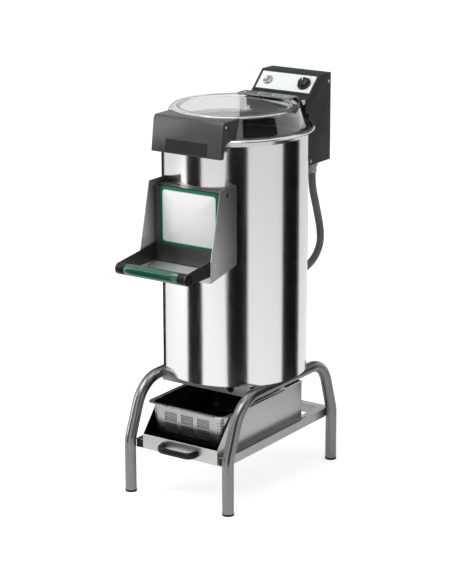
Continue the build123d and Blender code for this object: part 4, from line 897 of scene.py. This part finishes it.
# ------------ drawer
# A folded stainless drawer hangs on the side rails by its runners. Its front is low, its sides slope up
# behind it, and a black bridge handle is screwed to the front.
drawer_steel = brushed_metal("drawer_steel", (0.50, 0.49, 0.48), (0.66, 0.65, 0.63), 0.34, (24, 24, 2400))


def darken_inside(material, half_width, front, floor_level):
    """Paint shade on the faces inside a tray: a point is inside where it is nearer the middle than half the
    sheet's depth, behind the front sheet and above the bottom one; there the colour is multiplied down as
    shade."""
    axes = object_axes(material)
    inside = reckon("LESS_THAN", axes["X"], half_width)
    for axis, limit in (("X", -half_width), ("Y", front), ("Z", floor_level)):
        inside = reckon("MULTIPLY", inside, reckon("GREATER_THAN", axes[axis], limit))
    shade_where(material, inside, 0.10)


# The faces inside the drawer are painted darker, as shade.
darken_inside(drawer_steel, 0.12325, -0.25625, 0.13125)
dress(drawer_steel, "drawer_box")


def handle_points():
    """Bridge handle: an oval section carried along a path that rises from one foot, runs level across the
    front and goes down to the other foot; the section is broad at the feet and slimmer in the middle."""
    half_span, front_y, foot_z, bow = 0.056, -0.2572, 0.151, 0.0285
    across = np.linspace(-1, 1, 90)
    reach = bow * np.clip(1 - np.abs(across) ** 7, 0, 1) ** 0.5
    path = np.stack([half_span * across, front_y - reach, foot_z - 0.06 * reach], axis=-1)
    up = np.array([[0.0, 0.0, 1.0]])
    foot = np.abs(across[:, None]) ** 3
    return swept(path, (0.0066 + 0.0006 * foot) * np.cross(heading(path), up), (0.0086 + 0.0010 * foot) * up,
                 1.0, 32, 2.6)


grid_piece("bridge_handle", handle_points(), black_gloss, "drawer", "black_gloss", "drawer_handle")


# ------------ food pan
# A pressed stainless pan sits in the drawer by its rim. Its walls lean in, its corners are rounded, and
# fields of small holes are punched through the walls and the bottom. Its inside is painted dark, as shade.
pan_steel = brushed_metal("pan_steel", (0.44, 0.435, 0.43), (0.58, 0.575, 0.565), 0.36, 60)
# The lower part of the pan's outer wall is painted darker, as the shadow of the drawer's front.
shade_across(pan_steel, "Z", 0.219, 0.202, (0.14, 0.135, 0.13))
# The inside of the pan is painted almost black, as shade.
pan_inside_shade = brushed_metal("pan_inside_shade", (0.035, 0.034, 0.033), (0.07, 0.069, 0.067), 0.38, 60)
pan_rim = brushed_metal("pan_rim", (0.56, 0.555, 0.55), (0.68, 0.675, 0.665), 0.3, 60)
pan_middle, rim_level, rim_width = (0.0, -0.0735), 0.2572, 0.012


def pan_outline(inset, lap):
    """Point on a rounded rectangle at a share of its way round, starting in the middle of the front: straight
    runs and quarter circles laid end to end."""
    half_x, half_y, corner = 0.1325 - inset, 0.1625 - inset, np.maximum(0.030 - inset / 2, 0.004)
    straight_x, straight_y, arc = half_x - corner, half_y - corner, corner * pi / 2
    ends = np.cumsum([straight_x, arc, 2 * straight_y, arc, 2 * straight_x, arc, 2 * straight_y, arc,
                      straight_x])
    run = lap * ends[-1]
    piece = np.searchsorted(ends, run, side="right").clip(0, 8)
    along = run - np.concatenate([[0], ends])[piece]
    out, away = corner * np.sin(along / corner), corner * (1 - np.cos(along / corner))
    sides = [(along, -half_y), (straight_x + out, -half_y + away), (half_x, -straight_y + along),
             (half_x - away, straight_y + out), (straight_x - along, half_y),
             (-straight_x - out, half_y - away), (-half_x, straight_y - along),
             (-half_x + away, -straight_y - out), (-straight_x + along, -half_y)]
    x, y = (np.choose(piece, [side[axis] for side in sides]) for axis in (0, 1))
    return x + pan_middle[0], y + pan_middle[1]


def pan_outline_many(inset, lap, most=0.034):
    """The outline for many insets at once: the outlines at no inset and at the most, mixed by share."""
    x0, y0 = pan_outline(0.0, lap)
    x1, y1 = pan_outline(most, lap)
    share = inset / most
    return x0 + (x1 - x0) * share, y0 + (y1 - y0) * share


def wall_surface(fall, lap):
    """Pan wall by its share of the way down and round: the outline moves in by six millimetres from the rim
    to the bottom and rounds under at its foot."""
    depth = 0.0985 * fall
    foot = np.clip((depth - 0.0825) / 0.016, 0, 1)
    inset = rim_width + 0.006 * fall + 0.016 * (1 - np.sqrt(np.clip(1 - foot ** 2, 0, 1)))
    x, y = pan_outline_many(inset, lap)
    return np.stack([x, y, rim_level - depth], axis=-1)


def floor_surface(back, across):
    """Pan bottom by its share of the way back and across: a flat rectangle whose corners are drawn in on to
    quarter circles."""
    half_x, half_y, corner, level = 0.0985, 0.1285, 0.013, 0.1587
    x, y = (across * 2 - 1) * half_x, (back * 2 - 1) * half_y
    over_x, over_y = np.abs(x) - (half_x - corner), np.abs(y) - (half_y - corner)
    reach = np.sqrt(np.maximum(over_x, 0) ** 2 + np.maximum(over_y, 0) ** 2)
    at_corner = (over_x > 0) & (over_y > 0)
    pull = np.where(at_corner & (reach > corner), corner / np.maximum(reach, 1e-9), 1.0)
    x = np.where(at_corner, np.sign(x) * (half_x - corner + over_x * pull), x)
    y = np.where(at_corner, np.sign(y) * (half_y - corner + over_y * pull), y)
    return np.stack([x + pan_middle[0], y + pan_middle[1], np.full(x.shape, level)], axis=-1)


def punched_faces(surface, holed, share):
    """Points and faces of a punched sheet: its cells lie on a surface, a plain cell is one square, and in a
    punched cell each side of the square is joined to a quarter of a round hole of eight points."""
    rows, cols = holed.shape
    row, col = np.indices((rows + 1, cols + 1)).astype(float)
    quads = np.array(grid_faces(rows + 1, cols + 1, wrap_cols=False)).reshape(rows, cols, 4)
    where_row, where_col = (where[:, None] + 0.5 for where in np.nonzero(holed))
    angle = radians(-135) + np.arange(8) * pi / 4
    hole = surface((where_row + share * np.sin(angle)) / rows, (where_col + share * np.cos(angle)) / cols)
    first = (rows + 1) * (cols + 1) + np.arange(len(where_row)) * 8
    corners = quads[holed][:, ::-1]
    sides = [np.stack([corners[:, (k - 1) % 4], corners[:, k % 4], first + (2 * k + 2) % 8, first + 2 * k + 1,
                       first + 2 * k], axis=-1) for k in range(4)]
    return (np.concatenate([surface(row / rows, col / cols).reshape(-1, 3), hole.reshape(-1, 3)]),
            quads[~holed].tolist() + np.concatenate(sides).tolist())


# The walls are punched in groups between plain strips, in two rows of groups, and sparsely round the corners;
# the bottom is punched all over.
wall_rows, wall_cols = 22, 248
floor_rows, floor_cols = 46, 35
group_pitch, half_group = 0.0536, 0.0212
cell_row, cell_col = np.indices((wall_rows, wall_cols))
cell_middle = wall_surface((cell_row + 0.5) / wall_rows, (cell_col + 0.5) / wall_cols)
from_x, from_y = np.moveaxis(np.abs(cell_middle[..., :2] - pan_middle), -1, 0)
end_wall = from_y > 0.140
along_wall = np.where(end_wall, from_x, from_y)
in_groups = np.abs((along_wall + group_pitch / 2) % group_pitch - group_pitch / 2) < half_group
in_groups &= along_wall < np.where(end_wall, 0.080, 0.110)
in_groups &= ((cell_row >= 4) & (cell_row <= 9)) | ((cell_row >= 11) & (cell_row <= 16))
in_corners = (from_x > 0.100) & (from_y > 0.128) & (cell_col % 2 == 0) & (cell_row % 2 == 0)
in_corners &= (cell_row >= 4) & (cell_row <= 12)
wall_sheet = punched_faces(wall_surface, in_groups | in_corners, 0.33)
cell_row, cell_col = np.indices((floor_rows, floor_cols))
in_floor = (cell_row > 3) & (cell_row < floor_rows - 4) & (cell_col > 3) & (cell_col < floor_cols - 4)
floor_sheet = punched_faces(floor_surface, in_floor, 0.30)

rim_inset = np.array([rim_width, 0.0112, 0.0098, 0.0030, 0.0012, 0.0003, 0.0, 0.0003])[:, None]
rim_height = np.array([rim_level, 0.2577, 0.2580, 0.2580, 0.2579, 0.2576, 0.2571, 0.2566])[:, None]
rim_x, rim_y = pan_outline_many(rim_inset, np.linspace(0, 1, wall_cols + 1)[None, :])
rim_points = np.stack([rim_x, rim_y, np.broadcast_to(rim_height, rim_x.shape)], axis=-1)
rim_sheet = (rim_points, grid_faces(*rim_x.shape, wrap_cols=False))

pan_mesh = joined_mesh("punched_pan", [wall_sheet, floor_sheet, rim_sheet], 40)
pan = stand_piece("punched_pan", pan_mesh, pan_inside_shade, "filter_pan", "filter_pan")
for finish in (pan_steel, pan_rim, pan_rim):
    pan_mesh.materials.append(finish)
on_rim = np.array([face.center.z for face in pan_mesh.polygons]) > rim_level
pan_mesh.polygons.foreach_set("material_index", np.where(on_rim, 2, 0).astype(np.int32))
pan_wall = pan.modifiers.new("sheet", "SOLIDIFY")
pan_wall.thickness = 0.0008
pan_wall.offset = 0
pan_wall.material_offset = 1


# ------------ screws
# Stainless button-head screws, 9 mm across with a hexagon socket, hold the cheeks and the control box;
# smaller ones hold the lid's cover and its hinge strap.
screw_profile = np.array([(0.0, 0.0), (0.0, 0.0045), (0.0007, 0.0045), (0.0014, 0.0041), (0.0020, 0.0032),
                          (0.0024, 0.0020), (0.0024, 0.0014), (0.0011, 0.0013), (0.0011, 0.0)])
screw_steel = brushed_metal("screw_steel", 0.42, 0.62, 0.26, 900)


def screw_set(name, places, size, body, stands_for=None):
    """Screw heads at their places, each turned round its own axis from one profile."""
    turned = [turned_points(screw_profile * size, place, way, 28) for place, way in places]
    mesh = joined_mesh(name, [(points, grid_faces(*points.shape[:2])) for points in turned], 45)
    stand_piece(name, mesh, screw_steel, body, stands_for)


stand_places = [((side * x, y, z), (side, 0, 0)) for side in (-1, 1)
                for x, y, z in ((0.116, -0.250, 0.688), (0.098, 0.244, 0.874), (0.098, 0.335, 1.086))]
stand_places.append(((-0.082, -0.1317, 0.307), (0, -1, 0)))
screw_set("stand_screw_heads", stand_places, 1.0, "stand", "stand_screws")
cover_places = [((side * 0.112, -0.1930, 1.0440), (side, 0, 0)) for side in (-1, 1)]
strap_places = [((x, 0.166, 1.065), (0, 0, 1)) for x in (-0.068, -0.024, 0.024, 0.068)]
screw_set("lid_screw_heads", cover_places + strap_places, 0.8, "lid")
